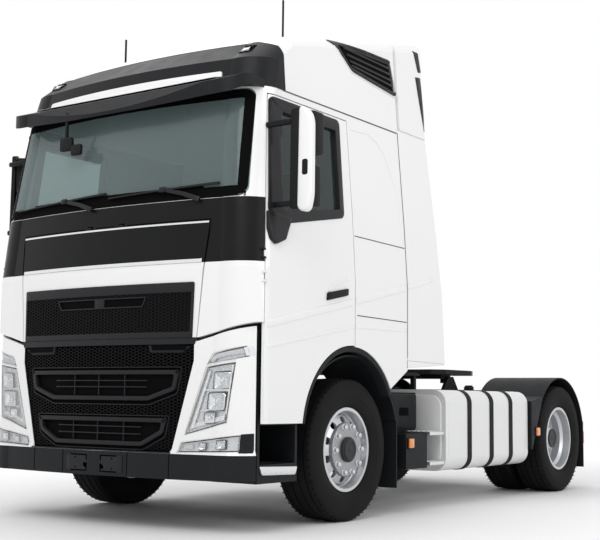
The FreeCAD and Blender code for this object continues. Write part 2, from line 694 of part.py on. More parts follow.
def doorOutline(grow=0.0):
    front = float(s.doorFront) - grow
    rear = float(s.doorRear) + grow
    low = float(s.doorLow) - grow
    top = float(s.doorTop) + grow
    return [(front, low), (rear, low), (rear, top), (front + 130, top), (front + 40, 2200), (front, 1700)]


hingeHeights = [1640, 1790]
windowOutline = [(-985, 2100), (-840, 2060), (-200, 2180), (-190, 2800), (-930, 2800)]
windowRadii = [60, 0, 60, 60, 60]


def doorPrism(grow, margin):
    """The door's outline with the wheel arch taken out of its rear lower corner."""
    prism = sidePrism(doorOutline(grow), 700, 1600, 0)
    return prism.cut(archPrism(margin))


def grown(points, reach):
    """Outline moved out from its own middle by about reach on every side."""
    midA = sum(float(a) for a, _ in points) / len(points)
    midB = sum(float(b) for _, b in points) / len(points)
    moved = []
    for a, b in points:
        signA = 1 if float(a) > midA else -1
        signB = 1 if float(b) > midB else -1
        moved.append((float(a) + signA * reach, float(b) + signB * reach))
    return moved


def makeDoors():
    thick = float(s.sideInset)
    prism = doorPrism(0, 8)
    upper = prism.common(sideForm(0)).cut(sideForm(thick))
    hollow = brick((0, 1600), (-2000, 2000), (0, float(s.floorLow))).common(sideForm(float(s.skin)))
    whole = upper.cut(hollow)
    low = float(s.floorLow)
    hidden = brick((0, 1212), (-2000, -1000), (0, low))
    window = sidePrism(windowOutline, 700, 1600, windowRadii)
    rebate = sidePrism(grown(windowOutline, float(s.glassLap)), 700, 1600, windowRadii)
    inset = float(s.glassInset)
    seat = rebate.common(sideForm(inset - float(s.glassGap)))
    door = whole.cut(hidden).cut(window).cut(seat)
    for z in hingeHeights:
        door = door.cut(tabRoom(z)).fuse(hingeRing(z)).cut(hingeBore(z))
    node("door_left", plain("doorLeft", door))
    node("door_right", plain("doorRight", flipped(door)))
    pane = sidePrism(grown(windowOutline, float(s.glassLap) - 1), 700, 1600, windowRadii)
    pane = pane.common(sideForm(inset)).cut(sideForm(inset + float(s.sideGlass)))
    node("door_glass_left", plain("doorGlassLeft", pane))
    node("door_glass_right", plain("doorGlassRight", flipped(pane)))


screenOutline = [(-1110, 2190), (1110, 2190), (1065, 2890), (-1065, 2890)]


def cowlTop():
    return float(screenOutline[0][1]) - float(s.glassLap) - 3


def hingeLine(z, length):
    """Start point and direction of the leaned left door hinge, from height z."""
    lean = math.radians(float(s.hingeLean))
    x = float(s.hingeX) - math.tan(lean) * (z - float(s.beltZ))
    return Vector(x, float(s.hingeY), z), Vector(-math.sin(lean) * length, 0, math.cos(lean) * length)


def hingeRod(z, low, high, radius):
    at, reach = hingeLine(z, 1)
    return Part.makeCylinder(radius, high - low, at + reach * low, reach)


def hingeTabs(z):
    """The fixed half of one door hinge: a pin held between two tabs."""
    pin = hingeRod(z, -34, 34, float(s.hingePin))
    at, _ = hingeLine(z, 1)
    pieces = []
    for low in (z - 34, z + 22):
        pieces.append(brick((at.x - 36, at.x + 5), (at.y - 24, at.y - 8), (low, low + 12)))
        pieces.append(brick((at.x - 7, at.x + 5), (at.y - 8, at.y + 4), (low, low + 12)))
    return pin.fuse(pieces)


def hingeRing(z):
    """The door's half: a ring on the pin, with a leaf to the door's skin."""
    ring = hingeRod(z, -20, 20, float(s.hingePin) + 3.5)
    at, _ = hingeLine(z, 1)
    leaf = brick((at.x - 30, at.x), (at.y + 9, at.y + 26), (z - 20, z + 20))
    neck = brick((at.x - 7, at.x), (at.y + 3, at.y + 10), (z - 20, z + 20))
    return ring.fuse([neck, leaf])


def hingeBore(z):
    return hingeRod(z, -40, 40, float(s.hingePin) + float(s.bearingGap))


def ringRoom(z):
    """Room in the fixed panel for the ring to turn in."""
    return hingeRod(z, -21, 21, float(s.hingePin) + 9)


def tabRoom(z):
    """Room in the door's edge for the two tabs."""
    return hingeRod(z, -37, -21, float(s.hingePin) + 9).fuse(hingeRod(z, 21, 37, float(s.hingePin) + 9))


def makeCabShell():
    wall = float(s.wall)
    low = float(s.floorLow)
    shell = skinOf(0, wall, 900, roofSeam())
    floor = band(sideForm(wall - 1), low, low + float(s.floorThick))
    floor = floor.common(brick((-1600, 1600), (float(s.lowFront) + 110, 2000), (0, 4000)))
    swing = hingeRod(low, -15, float(s.floorThick) + 20, 150)
    floor = floor.cut(swing).cut(flipped(swing))
    nose = brick((-1600, 1600), (-2000, -1000), (0, float(s.scuttleZ) - 10))
    bulkhead = skinOf(100, 140, low, float(s.scuttleZ) + 30, -2000, -1000)
    lip = skinOf(0, 140, cowlTop() + float(s.glassGap), float(s.scuttleZ) + 5, -2000, -1000)
    shell = shell.cut(nose)
    under = brick((-1600, 1600), (-2000, float(s.doorRear) + 8), (0, low))
    shell = shell.cut(under)
    low1 = sidePrism([(400, 0), (2000, 0), (2000, 1090), (720, 1090), (470, 950), (400, 900)], -1600, 1600)
    shell = shell.cut(low1).cut(archPrism(0))
    shell = shell.fuse([floor, bulkhead, lip])
    gap = float(s.panelGap)
    aperture = doorPrism(gap + 2, 0).cut(sideForm(float(s.sideInset) + gap + 2))
    shell = shell.cut(aperture).cut(flipped(aperture))
    screen = frontPrism(screenOutline, 60)
    rebate = frontPrism(grown(screenOutline, float(s.glassLap)), 60)
    seat = rebate.cut(sideForm(float(s.screenGlass) + 2 + float(s.glassGap)))
    shell = shell.cut(screen.common(brick((-1600, 1600), (-2500, -700), (2000, 3000)))).cut(seat)
    node("cab_shell", fused("cabShellWhole", plain("cabShell", shell), *makeTiltArms()))
    glass = frontPrism(grown(screenOutline, float(s.glassLap) - 1), 60)
    glass = glass.common(sideForm(2)).cut(sideForm(2 + float(s.screenGlass)))
    node("windscreen", plain("windscreenPane", glass))


def roofSeam():
    """Height where the roof moulding sits on the cab."""
    return float(s.headerZ + s.roofRise)


def makeRoof():
    split = roofSeam()
    roof = band(cabForm(0), split, 4000).cut(cabForm(float(s.wall)))
    front = frontPrism([(-1200, split - 36), (1200, split - 36), (1200, split + 299), (940, split + 374),
                        (-940, split + 374), (-1200, split + 299)], 0, -2500, -800)
    recess = front.cut(sideForm(12.3))
    intake = sidePrism([(-220, split + 534), (650, split + 564), (730, split + 314), (80, split + 374)], 700, 1600,
                       [40, 30, 30, 90]).cut(sideForm(float(s.intakeDepth)))
    roof = roof.cut(recess).cut(intake).cut(flipped(intake))
    node("cab_roof", plain("cabRoof", roof))
    panel = front.common(cabForm(0)).cut(sideForm(12))
    panel = panel.common(brick((-1600, 1600), (-2500, -802), (split + 1, 4000)))
    node("roof_front_panel", plain("roofFrontPanel", panel))
    node("sun_visor", plain("sunVisor", visorShape()))
    lamp = frontPrism([(880, split + 279), (960, split + 279), (955, split + 326), (885, split + 326)], 8, -2500, -700)
    lamp = lamp.common(sideForm(-14)).cut(sideForm(-float(s.glassGap)))
    node("marker_lamps", plain("markerLampLeft", lamp), plain("markerLampRight", flipped(lamp)))


def visorShape():
    split = roofSeam()
    outline = [(-1360, split - 101), (-1352, split - 124), (-1130, split - 11), (-900, split - 11),
               (-900, split + 24), (-1020, split + 49), (-1180, split + 49), (-1290, split + 4)]
    blade = sidePrism(outline, -1120, 1120)
    plan = Part.Face(planSection(2500, s.headerHalf - 20, -1360, 0)).extrude(Vector(0, 0, 700))
    return blade.common(plan).cut(sideForm(-0.3))


def makeRearCap():
    """Roof deflector behind the high roof, and the side deflectors below it."""
    rear = 1200
    start = float(s.cabRear) + float(s.glassGap)
    cap = cabForm(0.0, rear).common(brick((-1600, 1600), (start, 1300), (2975, 4000)))
    inner = cabForm(30.0, rear + 60)
    cap = cap.cut(inner)
    side = sideForm(0.0, 1500).cut(sideForm(30.0, 1560))
    tail = float(s.cabRear - s.rearCorner)
    trim = sidePrism([(tail, 1160), (1310, 1150), (1150, 2962), (tail, 2962)], 900, 1600)
    left = side.common(trim).cut(sideForm(-float(s.glassGap)))
    node("air_deflectors", plain("roofDeflector", cap), plain("sideDeflectorLeft", left),
         plain("sideDeflectorRight", flipped(left)))


def makeNose():
    """Lid below the windscreen, the corner panels beside it and the cowl above it."""
    depth = float(s.lidPanel)
    gap = float(s.panelGap)
    low = float(s.lidLow)
    top = float(s.lidTop)
    sheetForm = skinOf(0, depth, 1000, cowlTop(), -2000, -1000)
    lid = [(-s.lidHalfLow, low), (s.lidHalfLow, low), (float(s.lidHalfTop), top), (-float(s.lidHalfTop), top)]
    lidPart = sheetForm.common(frontPrism(lid))
    dark = brick((-1600, 1600), (-2500, -900), (float(s.darkLow), 2500))
    mesh = frontPrism([(-780, low + 30), (780, low + 30), (790, float(s.meshTop)), (-790, float(s.meshTop))], 20)
    node("front_lid", plain("frontLid", lidPart.cut(dark).cut(mesh)))
    pinRadius = float(s.lidPin)
    axis = Vector(1, 0, 0)
    hingeY = float(s.lidHingeY)
    hingeZ = float(s.lidHingeZ)
    rings = []
    holes = []
    pins = []
    notches = []
    for x in (-150, 150):
        at = Vector(x - 20, hingeY, hingeZ)
        rings.append(Part.makeCylinder(pinRadius + 5, 40, at, axis))
        rings.append(brick((x - 20, x + 20), (hingeY - 1, hingeY + 20), (hingeZ - 20, hingeZ - pinRadius)))
        holes.append(Part.makeCylinder(pinRadius + float(s.bearingGap), 200, Vector(x - 100, hingeY, hingeZ), axis))
        pins.append(Part.makeCylinder(pinRadius, 120, Vector(x - 60, hingeY, hingeZ), axis))
        notches.append(brick((x - 26, x + 26), (hingeY - 100, hingeY + 60), (hingeZ - 50, hingeZ + 16)))
    darkPart = lidPart.common(dark).fuse(rings)
    for hole, pin in zip(holes, pins):
        darkPart = darkPart.cut(hole)
    clear = [brick((x, x + 34), (hingeY - 20, hingeY + 9), (hingeZ - 9, hingeZ + 9)) for x in
             (-150 - 60, -150 + 26, 150 - 60, 150 + 26)]
    for room in clear:
        darkPart = darkPart.cut(room)
    node("lid_dark_panel", plain("lidDarkPanel", darkPart))
    grid = lidPart.common(frontPrism([(-779.7, low + 30.3), (779.7, low + 30.3),
                                      (789.7, float(s.meshTop) - 0.3), (-789.7, float(s.meshTop) - 0.3)], 20))
    node("lid_mesh", plain("lidMesh", grid))
    rest = sheetForm.cut(frontPrism([(-s.lidHalfLow - gap, 0), (s.lidHalfLow + gap, 0),
                                     (float(s.lidHalfLow) + gap, low), (float(s.lidHalfTop) + gap, top - 88),
                                     (float(s.lidHalfTop) + gap, top + gap), (-float(s.lidHalfTop) - gap, top + gap),
                                     (-float(s.lidHalfTop) - gap, top - 88), (-float(s.lidHalfLow) - gap, low)]))
    edge = doorOutline(gap)
    corner = sidePrism([(-2000, 0), (edge[0][0], 0), edge[5], edge[4], (edge[4][0], 2500), (-2000, 2500)], -1600, 1600)
    rest = rest.common(corner)
    edge = frontPrism([(-1300, 1350), (-1205, 1346), (-1000, 1292), (-830, 1250), (830, 1250), (1000, 1292),
                       (1205, 1346), (1300, 1350), (1300, 3000), (-1300, 3000)])
    rest = rest.common(edge)
    for z in hingeHeights:
        rest = rest.cut(ringRoom(z)).cut(flipped(ringRoom(z)))
    corners = rest.cut(dark).fuse([hingeTabs(hingeHeights[0]), flipped(hingeTabs(hingeHeights[0]))])
    node("corner_panels", plain("cornerPanels", corners))
    cowl = rest.common(dark).fuse([hingeTabs(hingeHeights[1]), flipped(hingeTabs(hingeHeights[1]))])
    for notch in notches:
        cowl = cowl.cut(notch)
    node("cowl_panel", plain("cowlPanel", cowl.fuse(pins)))


def makeTiltArms():
    y = s.tiltY
    z = s.tiltZ
    arm = sideProfile("tiltArm", [
        (y - 28, z + 26), (y + 28, z - 26), (y + 310, z + 190), (s.tiltArmSeat + 60, s.floorLow),
        (s.tiltArmSeat - 60, s.floorLow), (y + 250, z + 226),
    ], s.tiltArmIn, s.tiltArmOut)
    eye = rod("tiltEye", "x", (s.tiltArmIn, y, z), 42, s.tiltArmOut - s.tiltArmIn)
    hole = rod("tiltHole", "x", (s.tiltArmIn - 20, y, z), s.tiltPinRadius + s.bearingGap, 200)
    return both(cut("tiltArmLeft", fused("tiltArmWhole", arm, eye), hole))


# Lower front, fixed to the frame

def lowerForm(inset=0.0):
    front = float(s.bumperFront) + inset
    half = s.unitHalf
    low = planSection(float(s.bumperLow) - 37, half, front - inset, inset, 400)
    bumper = planSection(float(s.bumperTop), half, front - inset, inset, 400)
    upper = planSection(float(s.bumperTop) + 30, half, s.unitFront, inset, 400)
    top = planSection(1500, half, s.unitFront, inset, 400)
    return Part.makeLoft([low, bumper, upper, top], True, True)


headlampOutline = [(745, 624), (1050, 707), (1100, 1088), (900, 1058)]
dayLampOutline = [(900, 1078), (1085, 1106), (1165, 1126), (1150, 1192), (950, 1142)]
fogOutline = [(695, 512), (1120, 524), (1130, 628), (720, 572)]
lampOutlines = [("headlamp", headlampOutline), ("dayLamp", dayLampOutline), ("fogLamp", fogOutline)]
grilleOutline = [(640, 505), (800, 1100), (800, 1210)]
# half outlines of the two frames, outer edge and opening, with the heights of their level slats
grilleFrames = [
    ([(500, 812), (756, 960), (715, 1056)], [(484, 840), (726, 958), (694, 1032)], (905, 975), (230, 520)),
    ([(440, 528), (640, 634), (655, 752)], [(424, 556), (610, 644), (626, 728)], (612, 672), (200, 440)),
]


def wholeOutline(half):
    """A half outline from its foot to its top, with its twin on the other side."""
    return half + [(-x, z) for x, z in reversed(half)]


def makeGrille():
    """A thin backing sheet that carries a rim, two frames and their slats."""
    wall = float(s.unitWall)
    field = frontPrism(wholeOutline([(x - 0.4, z + (0.4 if z < 800 else -0.4)) for x, z in grilleOutline]))
    inner = frontPrism(wholeOutline([(x - 16, z + (14 if z < 800 else -14)) for x, z in grilleOutline]))
    backing = lowerForm(wall - float(s.grilleSheet)).cut(lowerForm(wall))
    proud = lowerForm(float(s.grilleProud)).cut(lowerForm(wall - 1))
    deep = lowerForm(float(s.slatInset)).cut(lowerForm(wall - 1))
    pieces = [proud.common(field).cut(inner)]
    for outer, opening, levels, posts in grilleFrames:
        window = frontPrism(wholeOutline(opening))
        pieces.append(proud.common(frontPrism(wholeOutline(outer))).cut(window))
        half = float(s.slatHeight) / 2
        bars = [brick((-800, 800), (-2000, 0), (z - half, z + half)) for z in levels]
        bars += [brick((side * x - half, side * x + half), (-2000, 0), (400, 1200)) for x in posts for side in (-1, 1)]
        for bar in bars:
            pieces.append(deep.common(bar).common(frontPrism(wholeOutline(outer))))
    whole = backing.common(field).fuse(pieces)
    node("lower_grille", plain("lowerGrille", whole.common(brick((-900, 900), (-2000, 0), (503, 1300)))))


def makeLowerFront():
    wall = float(s.unitWall)
    shell = lowerForm(0).cut(lowerForm(wall))
    front = brick((-1600, 1600), (-2000, float(s.doorFront) - 20), (0, 1600))
    crown = [(-1300, 0), (1300, 0), (1300, float(s.unitCornerTop)), (1205, float(s.unitCornerTop)),
             (1000, 1272), (830, float(s.unitTop)), (-830, float(s.unitTop)), (-1000, 1272),
             (-1205, float(s.unitCornerTop)), (-1300, float(s.unitCornerTop))]
    shell = shell.common(front).common(frontPrism(crown))
    bumperLow = band(shell, float(s.bumperLow), float(s.bumperTop))
    node("bumper", plain("bumperSkin", bumperLow))
    face = band(shell, float(s.bumperTop) + float(s.glassGap), 1600)
    openings = [frontPrism(wholeOutline(grilleOutline))]
    for side in (1, -1):
        openings += [frontPrism([(side * x, z) for x, z in outline]) for _, outline in lampOutlines]
    surround = face
    for opening in openings:
        surround = surround.cut(opening)
    seam = float(s.glassGap) / 2
    for x in (-820, 820):
        surround = surround.cut(brick((x - seam, x + seam), (-2000, 0), (0, 1600)))
    node("headlamp_surround", plain("surroundSkin", surround))
    makeGrille()
    lamps = []
    for label, outline in lampOutlines:
        left = lowerForm(2).cut(lowerForm(wall)).common(frontPrism(grown(outline, -0.4)))
        left = left.common(front)
        lamps += [plain(label + "Left", left), plain(label + "Right", flipped(left))]
    node("front_lamps", *lamps)


def makeSteps():
    well = box("stepWell", (s.stepIn, s.stepOut), (s.stepFront, s.stepRear), (s.stepLow, s.stepTop))
    tools = []
    for index, (low, high) in enumerate(((440, 690), (740, 970), (1010, 1240))):
        tools.append(box(f"stepRoom{index}", (s.stepIn + 60 + 40 * index, s.stepOut + 10),
                         (s.stepFront + 25, s.stepRear - 25), (low, high)))
    whole = cut("stepUnit", well, *tools)
    node("entry_steps", *both(whole))


def makeFrontGuards():
    radius = float(s.guardRadius)
    wall = float(s.guardWall)
    centre = Vector(float(s.guardIn), 0, float(s.axleHeight))
    width = float(s.guardOut - s.guardIn)
    axis = Vector(1, 0, 0)
    ring = Part.makeCylinder(radius + wall, width, centre, axis).cut(
        Part.makeCylinder(radius, width, centre, axis))
    keep = brick((0, 2000), (float(s.stepRear) + 5, 1000), (700, 2000))
    arch = ring.common(keep)
    flap = brick((float(s.guardIn), float(s.guardOut)), (640, 640 + wall), (200, 720))
    arch = arch.fuse(flap)
    post = brick((float(s.railOuter), float(s.guardIn) + 40), (-60, 0), (1166, 1186))
    leg = brick((float(s.railOuter), float(s.railOuter) + 10), (-60, 0), (800, 1186))
    arch = arch.fuse([post, leg])
    node("front_mudguards", plain("guardLeft", arch), plain("guardRight", flipped(arch)))


def tankSection(offset, x0, x1, y):
    low = float(s.tankLow) - offset
    high = float(s.tankTop) + offset
    corner = float(s.tankCorner) + offset
    points = [Vector(x0 - offset, y, low), Vector(x1 + offset, y, low), Vector(x1 + offset, y, high),
              Vector(x0 - offset, y, high)]
    return Part.Face(roundedWire(points, corner))


def makeTank():
    x0 = float(s.tankIn)
    x1 = float(s.tankOut)
    front = float(s.tankFront)
    long = float(s.tankRear - s.tankFront)
    tank = tankSection(0, x0, x1, front).extrude(Vector(0, long, 0))
    node("fuel_tank", plain("fuelTank", tank))
    straps = []
    brackets = []
    for y in (1800, 2220, 2610):
        wide = float(s.strapWide)
        outer = tankSection(float(s.strapThick), x0, x1, y - wide / 2).extrude(Vector(0, wide, 0))
        inner = tankSection(0.3, x0, x1, y - wide / 2).extrude(Vector(0, wide, 0))
        straps.append(outer.cut(inner))
        foot = brick((float(s.railOuter), x0 - float(s.strapThick)), (y - 30, y + 30), (700, 780))
        brackets.append(foot)
    strap = plain("straps", Part.makeCompound(straps))
    node("tank_straps", strap)
    return plain("brackets", Part.makeCompound(brackets))


def makeCatwalk():
    """Walkway over the frame behind the cab."""
    wide = s.railOuter - 5
    deck = box("catwalkDeck", (-wide, wide), (s.catwalkFront, s.catwalkRear), (s.catwalkTop - 20, s.catwalkTop))
    legs = []
    for name, y in (("legFront", s.catwalkFront + 40), ("legRear", s.catwalkRear - 80)):
        legs.append(box(name, (s.railOuter - 60, s.railOuter - 20), (y, y + 40), (s.railTop, s.catwalkTop - 19)))
    node("catwalk", fused("catwalkUnit", deck, *both(*legs)))


def makeSideUnits():
    battery = box("batteryCase", (s.railOuter, 980), (850, 1300), (610, 920))
    ledge = box("sideStepBack", (900, 1180), (800, 1130), (330, 600))
    link = box("sideStepLink", (700, 960), (860, 1130), (560, 615))
    treads = []
    for name, z in (("sideTreadHigh", 585), ("sideTreadLow", 350)):
        treads.append(box(name, (960, 1205), (1130, 1370), (z, z + 25)))
    node("battery_box", fused("batteryUnit", battery, ledge, link))
    node("side_steps", *treads)
    box2 = box("exhaustBox", (-1180, -s.railOuter - 40), (850, 1900), (380, 900))
    hanger = box("exhaustHanger", (-s.railOuter - 40, -s.railOuter), (1000, 1700), (720, 800))
    vessel = rod("airVessel", "y", (-700, 2050, 700), 140, 800)
    hang = box("airHanger", (-600, -s.railOuter), (2300, 2500), (700, 780))
    node("tank_brackets", makeTank())
    node("exhaust_and_air_units", fused("exhaustUnit", box2, hanger), fused("airVesselUnit", vessel, hang))


def makeRearGuards():
    radius = float(s.rearGuardRadius)
    wall = 10.0
    y = float(s.wheelbase)
    z = float(s.axleHeight)
    x0 = float(s.rearGuardIn)
    width = float(s.rearGuardOut) - x0
    axis = Vector(1, 0, 0)
    centre = Vector(x0, y, z)
    ring = Part.makeCylinder(radius + wall, width, centre, axis).cut(
        Part.makeCylinder(radius, width, centre, axis))
    lower = [(y - 800, -200), (y + 800, -200), (y + 800, 640), (y, 640), (y - 300, 880), (y - 800, 880)]
    arch = ring.cut(sidePrism(lower, 0, 2000))
    panel = sidePrism([(y - 690, 420), (y - 676, 420), (y - 440, 872), (y - 430, 905), (y - 455, 905),
                       (y - 690, 860)], x0, x0 + width)
    arch = arch.fuse(panel)
    flap = brick((x0, x0 + width), (y + 566, y + 578), (210, 660))
    rail = float(s.railOuter)
    carriers = [brick((rail, x0 + 45), (y + side * 385 - 20, y + side * 385 + 20), (900, 945)) for side in (-1, 1)]
    arch = arch.fuse([flap] + carriers)
    node("rear_mudguards", plain("rearGuardLeft", arch), plain("rearGuardRight", flipped(arch)))
    rear = s.wheelbase + s.rearOverhang
    bar = box("rearBar", (-1200, 1200), (y + 603, y + 640), (560, 640))
    legs = box("rearBarLeg", (s.railOuter - 60, s.railOuter), (y + 603, y + 633), (600, s.railTop - s.railDepth))
    node("rear_beam", fused("rearBeam", bar, *both(legs)))
    lamp = box("tailLamp", (820, 1200), (y + 640, rear), (440, 560))
    node("tail_lamps", *both(lamp))


def mirrorCase(turn=0.0):
    """White cover with a hand slot, and the two dark housings behind it, turned back about the arms."""
    cover = frontPrism([(1340, 2080), (1505, 2050), (1530, 2150), (1530, 2650), (1480, 2760), (1350, 2740)], 18,
                       -1040, -990)
    cover = cover.cut(brick((1395, 1480), (-1050, -980), (2375, 2440)))
    upper = brick((1352, 1520), (-992, -850), (2440, 2725))
    lower = brick((1352, 1512), (-992, -870), (2090, 2375))
    case = cover.fuse([upper, lower])
    case.rotate(Vector(1330, -1000, 0), Vector(0, 0, 1), turn)
    return case


def mirrorArms():
    arms = brick((1150, 1352), (-1030, -990), (2640, 2680)).fuse(brick((1180, 1352), (-1020, -985), (2100, 2140)))
    return arms.cut(cabForm(-float(s.glassGap)))


def makeMirrors():
    """The left mirror stands out for driving and the right one is folded back along its door."""
    node("mirror_left", plain("mirrorLeft", mirrorArms().fuse(mirrorCase())))
    node("mirror_right", plain("mirrorRight", flipped(mirrorArms().fuse(mirrorCase(float(s.mirrorFold))))))


dashOutline = [(-1190, 1800), (-1190, 2090), (-1120, 2110), (-900, 2060), (-850, 1900), (-900, 1700), (-1060, 1700)]


def steeringWheel():
    """Rim, two spokes, boss and column, leaned back over the dashboard."""
    centre = Vector(620, -830, 2050)
    lean = Vector(0, 0.5, math.sqrt(0.75))
    radius = float(s.steerWheelRadius)
    grip = float(s.steerWheelGrip)
    rim = Part.makeTorus(radius, grip, centre, lean)
    spoke = Part.makeCylinder(grip - 3, 2 * radius, centre - Vector(radius, 0, 0), Vector(1, 0, 0))
    boss = Part.makeCylinder(62, 40, centre - lean * 25, lean)
    column = Part.makeCylinder(34, 200, centre - lean * 210, lean)
    return rim.fuse([spoke, boss, column])


def makeInterior():
    top = s.floorLow + s.floorThick
    dash = sideProfile("dashBody", dashOutline, -1080, 1080)
    foot = box("dashFoot", (-200, 200), (-1120, -980), (top, 1720))
    room = plain("dashRoom", sideForm(140 + float(s.glassGap)))
    trimmed = doc.addObject("Part::Common", "dashTrimmed")
    trimmed.Base = fused("dash", dash, foot)
    trimmed.Tool = room
    seat = sidePrism([(y + 0.4, z + 0.4) for y, z in dashOutline], -1100, 1100)
    node("dashboard", trimmed, plain("steeringWheel", steeringWheel().cut(seat)))
    seats = []
    for x in (620, -620):
        base = box("seatBase", (x - 170, x + 170), (-560, -160), (top, top + 300))
        cushion = box("seatCushion", (x - 250, x + 250), (-640, -120), (top + 300, top + 430))
        back = sideProfile("seatBack", [(-180, top + 400), (-80, top + 400), (60, top + 1130), (-30, top + 1150)],
                           x - 240, x + 240)
        seats.append(fused("seat", base, cushion, back))
        bunk = box("bunkBed", (-1090, 1090), (140, 690), (top, top + 520))
    node("seats_and_bunk", *seats, bunk)


def makeSmallPieces():
    roof = cabForm(-float(s.glassGap))
    aerials = []
    for name, x, y, low, high in (("aerialLeft", 540, 0, 3450, 3930), ("aerialRight", -540, -600, 3300, 3640)):
        whip = Part.makeCylinder(8, high - low, Vector(x, y, low)).cut(roof)
        aerials.append(plain(name, whip))
    node("aerials", *aerials)


makeFrame()
makeDriveline()
makeFrontAxle()
makeRearAxle()
makeFrontWheels()
makeRearWheels()
makeKnuckles()
makeFifthWheel()
makeDoors()
makeCabShell()
makeRoof()
makeRearCap()
makeNose()
makeLowerFront()
makeSteps()
makeFrontGuards()
makeSideUnits()
makeCatwalk()
makeRearGuards()
makeMirrors()
makeInterior()
makeSmallPieces()

doc.recompute()
for item in doc.Objects:
    if "Invalid" in item.State or "Error" in item.State:
        raise RuntimeError(f"{item.Label} failed: {item.State}")
os.makedirs("parts", exist_ok=True)
for item in nodes:
    if item.Shape.isNull() or not item.Shape.isValid():
        raise RuntimeError(f"{item.Label} has no valid shape")
    item.Shape.exportStep(f"parts/{item.Label}.step")
    print(item.Label, len(item.Shape.Solids), round(item.Shape.Volume / 1e9, 4))
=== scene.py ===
import math

import bmesh
import bpy
from mathutils import Matrix, Vector
from mathutils.bvhtree import BVHTree


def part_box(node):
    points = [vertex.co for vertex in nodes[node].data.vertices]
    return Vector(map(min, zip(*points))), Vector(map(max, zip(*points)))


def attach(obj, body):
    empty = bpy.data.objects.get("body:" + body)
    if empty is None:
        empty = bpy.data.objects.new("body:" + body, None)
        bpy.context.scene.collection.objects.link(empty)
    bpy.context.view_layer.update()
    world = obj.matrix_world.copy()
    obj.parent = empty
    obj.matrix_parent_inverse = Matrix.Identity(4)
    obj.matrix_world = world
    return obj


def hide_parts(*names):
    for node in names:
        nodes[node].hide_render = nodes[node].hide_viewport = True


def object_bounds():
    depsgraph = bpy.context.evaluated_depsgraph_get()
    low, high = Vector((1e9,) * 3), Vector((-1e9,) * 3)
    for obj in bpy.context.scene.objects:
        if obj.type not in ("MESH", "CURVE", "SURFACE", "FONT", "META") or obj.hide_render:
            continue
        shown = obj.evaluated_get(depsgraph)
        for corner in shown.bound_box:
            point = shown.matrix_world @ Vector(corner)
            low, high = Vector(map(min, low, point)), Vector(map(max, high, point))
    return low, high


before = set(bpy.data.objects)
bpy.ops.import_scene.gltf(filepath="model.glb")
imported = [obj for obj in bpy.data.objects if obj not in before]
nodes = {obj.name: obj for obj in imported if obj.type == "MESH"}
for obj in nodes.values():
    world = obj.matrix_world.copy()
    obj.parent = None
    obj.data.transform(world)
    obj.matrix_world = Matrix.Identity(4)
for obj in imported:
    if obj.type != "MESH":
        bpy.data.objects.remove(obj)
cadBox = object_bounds()
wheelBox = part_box("rim_front_left")
axle = (wheelBox[0] + wheelBox[1]) / 2  # centre of the left front wheel
origin = Vector((0, axle.y, 0))  # drawings measure from the ground under the front axle
rearAxle = 3.700
hands = ((1, "left"), (-1, "right"))


# shader maths: a wrapped socket takes the usual operators

class Wire:
    def __init__(self, shade, socket):
        self.shade = shade
        self.socket = socket

    def maths(self, operation, first, second):
        return self.shade.add("ShaderNodeMath", {"operation": operation}, {0: first, 1: second})

    def __add__(self, other):
        return self.maths("ADD", self, other)

    def __rsub__(self, other):
        return self.maths("SUBTRACT", other, self)

    def __mul__(self, other):
        return self.maths("MULTIPLY", self, other)

    def __gt__(self, other):
        return self.maths("GREATER_THAN", self, other)

    def __lt__(self, other):
        return self.maths("LESS_THAN", self, other)


class Shade:
    # the nodes of one material, or of the world
    def __init__(self, name, world=False, **fixed):
        self.made = bpy.data.worlds.new(name) if world else bpy.data.materials.new(name)
        self.made.use_nodes = True
        self.nodes = self.made.node_tree.nodes
        self.links = self.made.node_tree.links
        self.base = self.nodes["Background" if world else "Principled BSDF"]
        self.output = self.nodes["World Output" if world else "Material Output"]
        self.plain = Wire(self, self.base.outputs[0])
        for socket, value in fixed.items():
            self.base.inputs[socket.replace("_", " ")].default_value = value
        if not world:
            self.place = self.add("ShaderNodeTexCoord", {}, {}, "Object")

    def add(self, kind, settings, sockets, out=0):
        node = self.nodes.new(kind)
        for name, value in settings.items():
            if name == "stops":
                for element, (position, color) in zip(node.color_ramp.elements, value):
                    element.position = position
                    element.color = color
            else:
                setattr(node, name, value)
        for name, value in sockets.items():
            if isinstance(value, Wire):
                self.links.new(value.socket, node.inputs[name])
            else:
                node.inputs[name].default_value = value
        return Wire(self, node.outputs[out])

    def feed(self, **wires):
        for socket, wire in wires.items():
            self.links.new(wire.socket, self.base.inputs[socket.replace("_", " ")])

    def show(self, factor, first, second):
        # the surface becomes a mix of two shaders
        mixed = self.add("ShaderNodeMixShader", {}, {"Fac": factor, 1: first, 2: second})
        self.links.new(mixed.socket, self.output.inputs["Surface"])

    def noise(self, scale, detail=2, rough=0.5):
        return self.add("ShaderNodeTexNoise", {}, {"Vector": self.place, "Scale": scale, "Detail": detail,
                                                    "Roughness": rough})

    def cells(self, scale, **settings):
        return self.add("ShaderNodeTexVoronoi", settings, {"Vector": self.place, "Scale": scale})

    def ramp(self, wire, *stops):
        return self.add("ShaderNodeValToRGB", {"stops": stops}, {"Fac": wire})

    def between(self, factor, low, high):
        return self.add("ShaderNodeMix", {"data_type": "RGBA"}, {"Factor": factor, 6: low, 7: high}, 2)

    def span(self, wire, low, high):
        return self.add("ShaderNodeMapRange", {}, {"Value": wire, "To Min": low, "To Max": high})

    def bump(self, wire, strength, distance):
        self.feed(Normal=self.add("ShaderNodeBump", {}, {"Height": wire, "Strength": strength,
                                                          "Distance": distance}))


def grey(value):
    return (value, value, value, 1)


def tone(color, factor=1.0, plus=0.0):
    return tuple(c * factor + plus for c in color[:3]) + (1,)


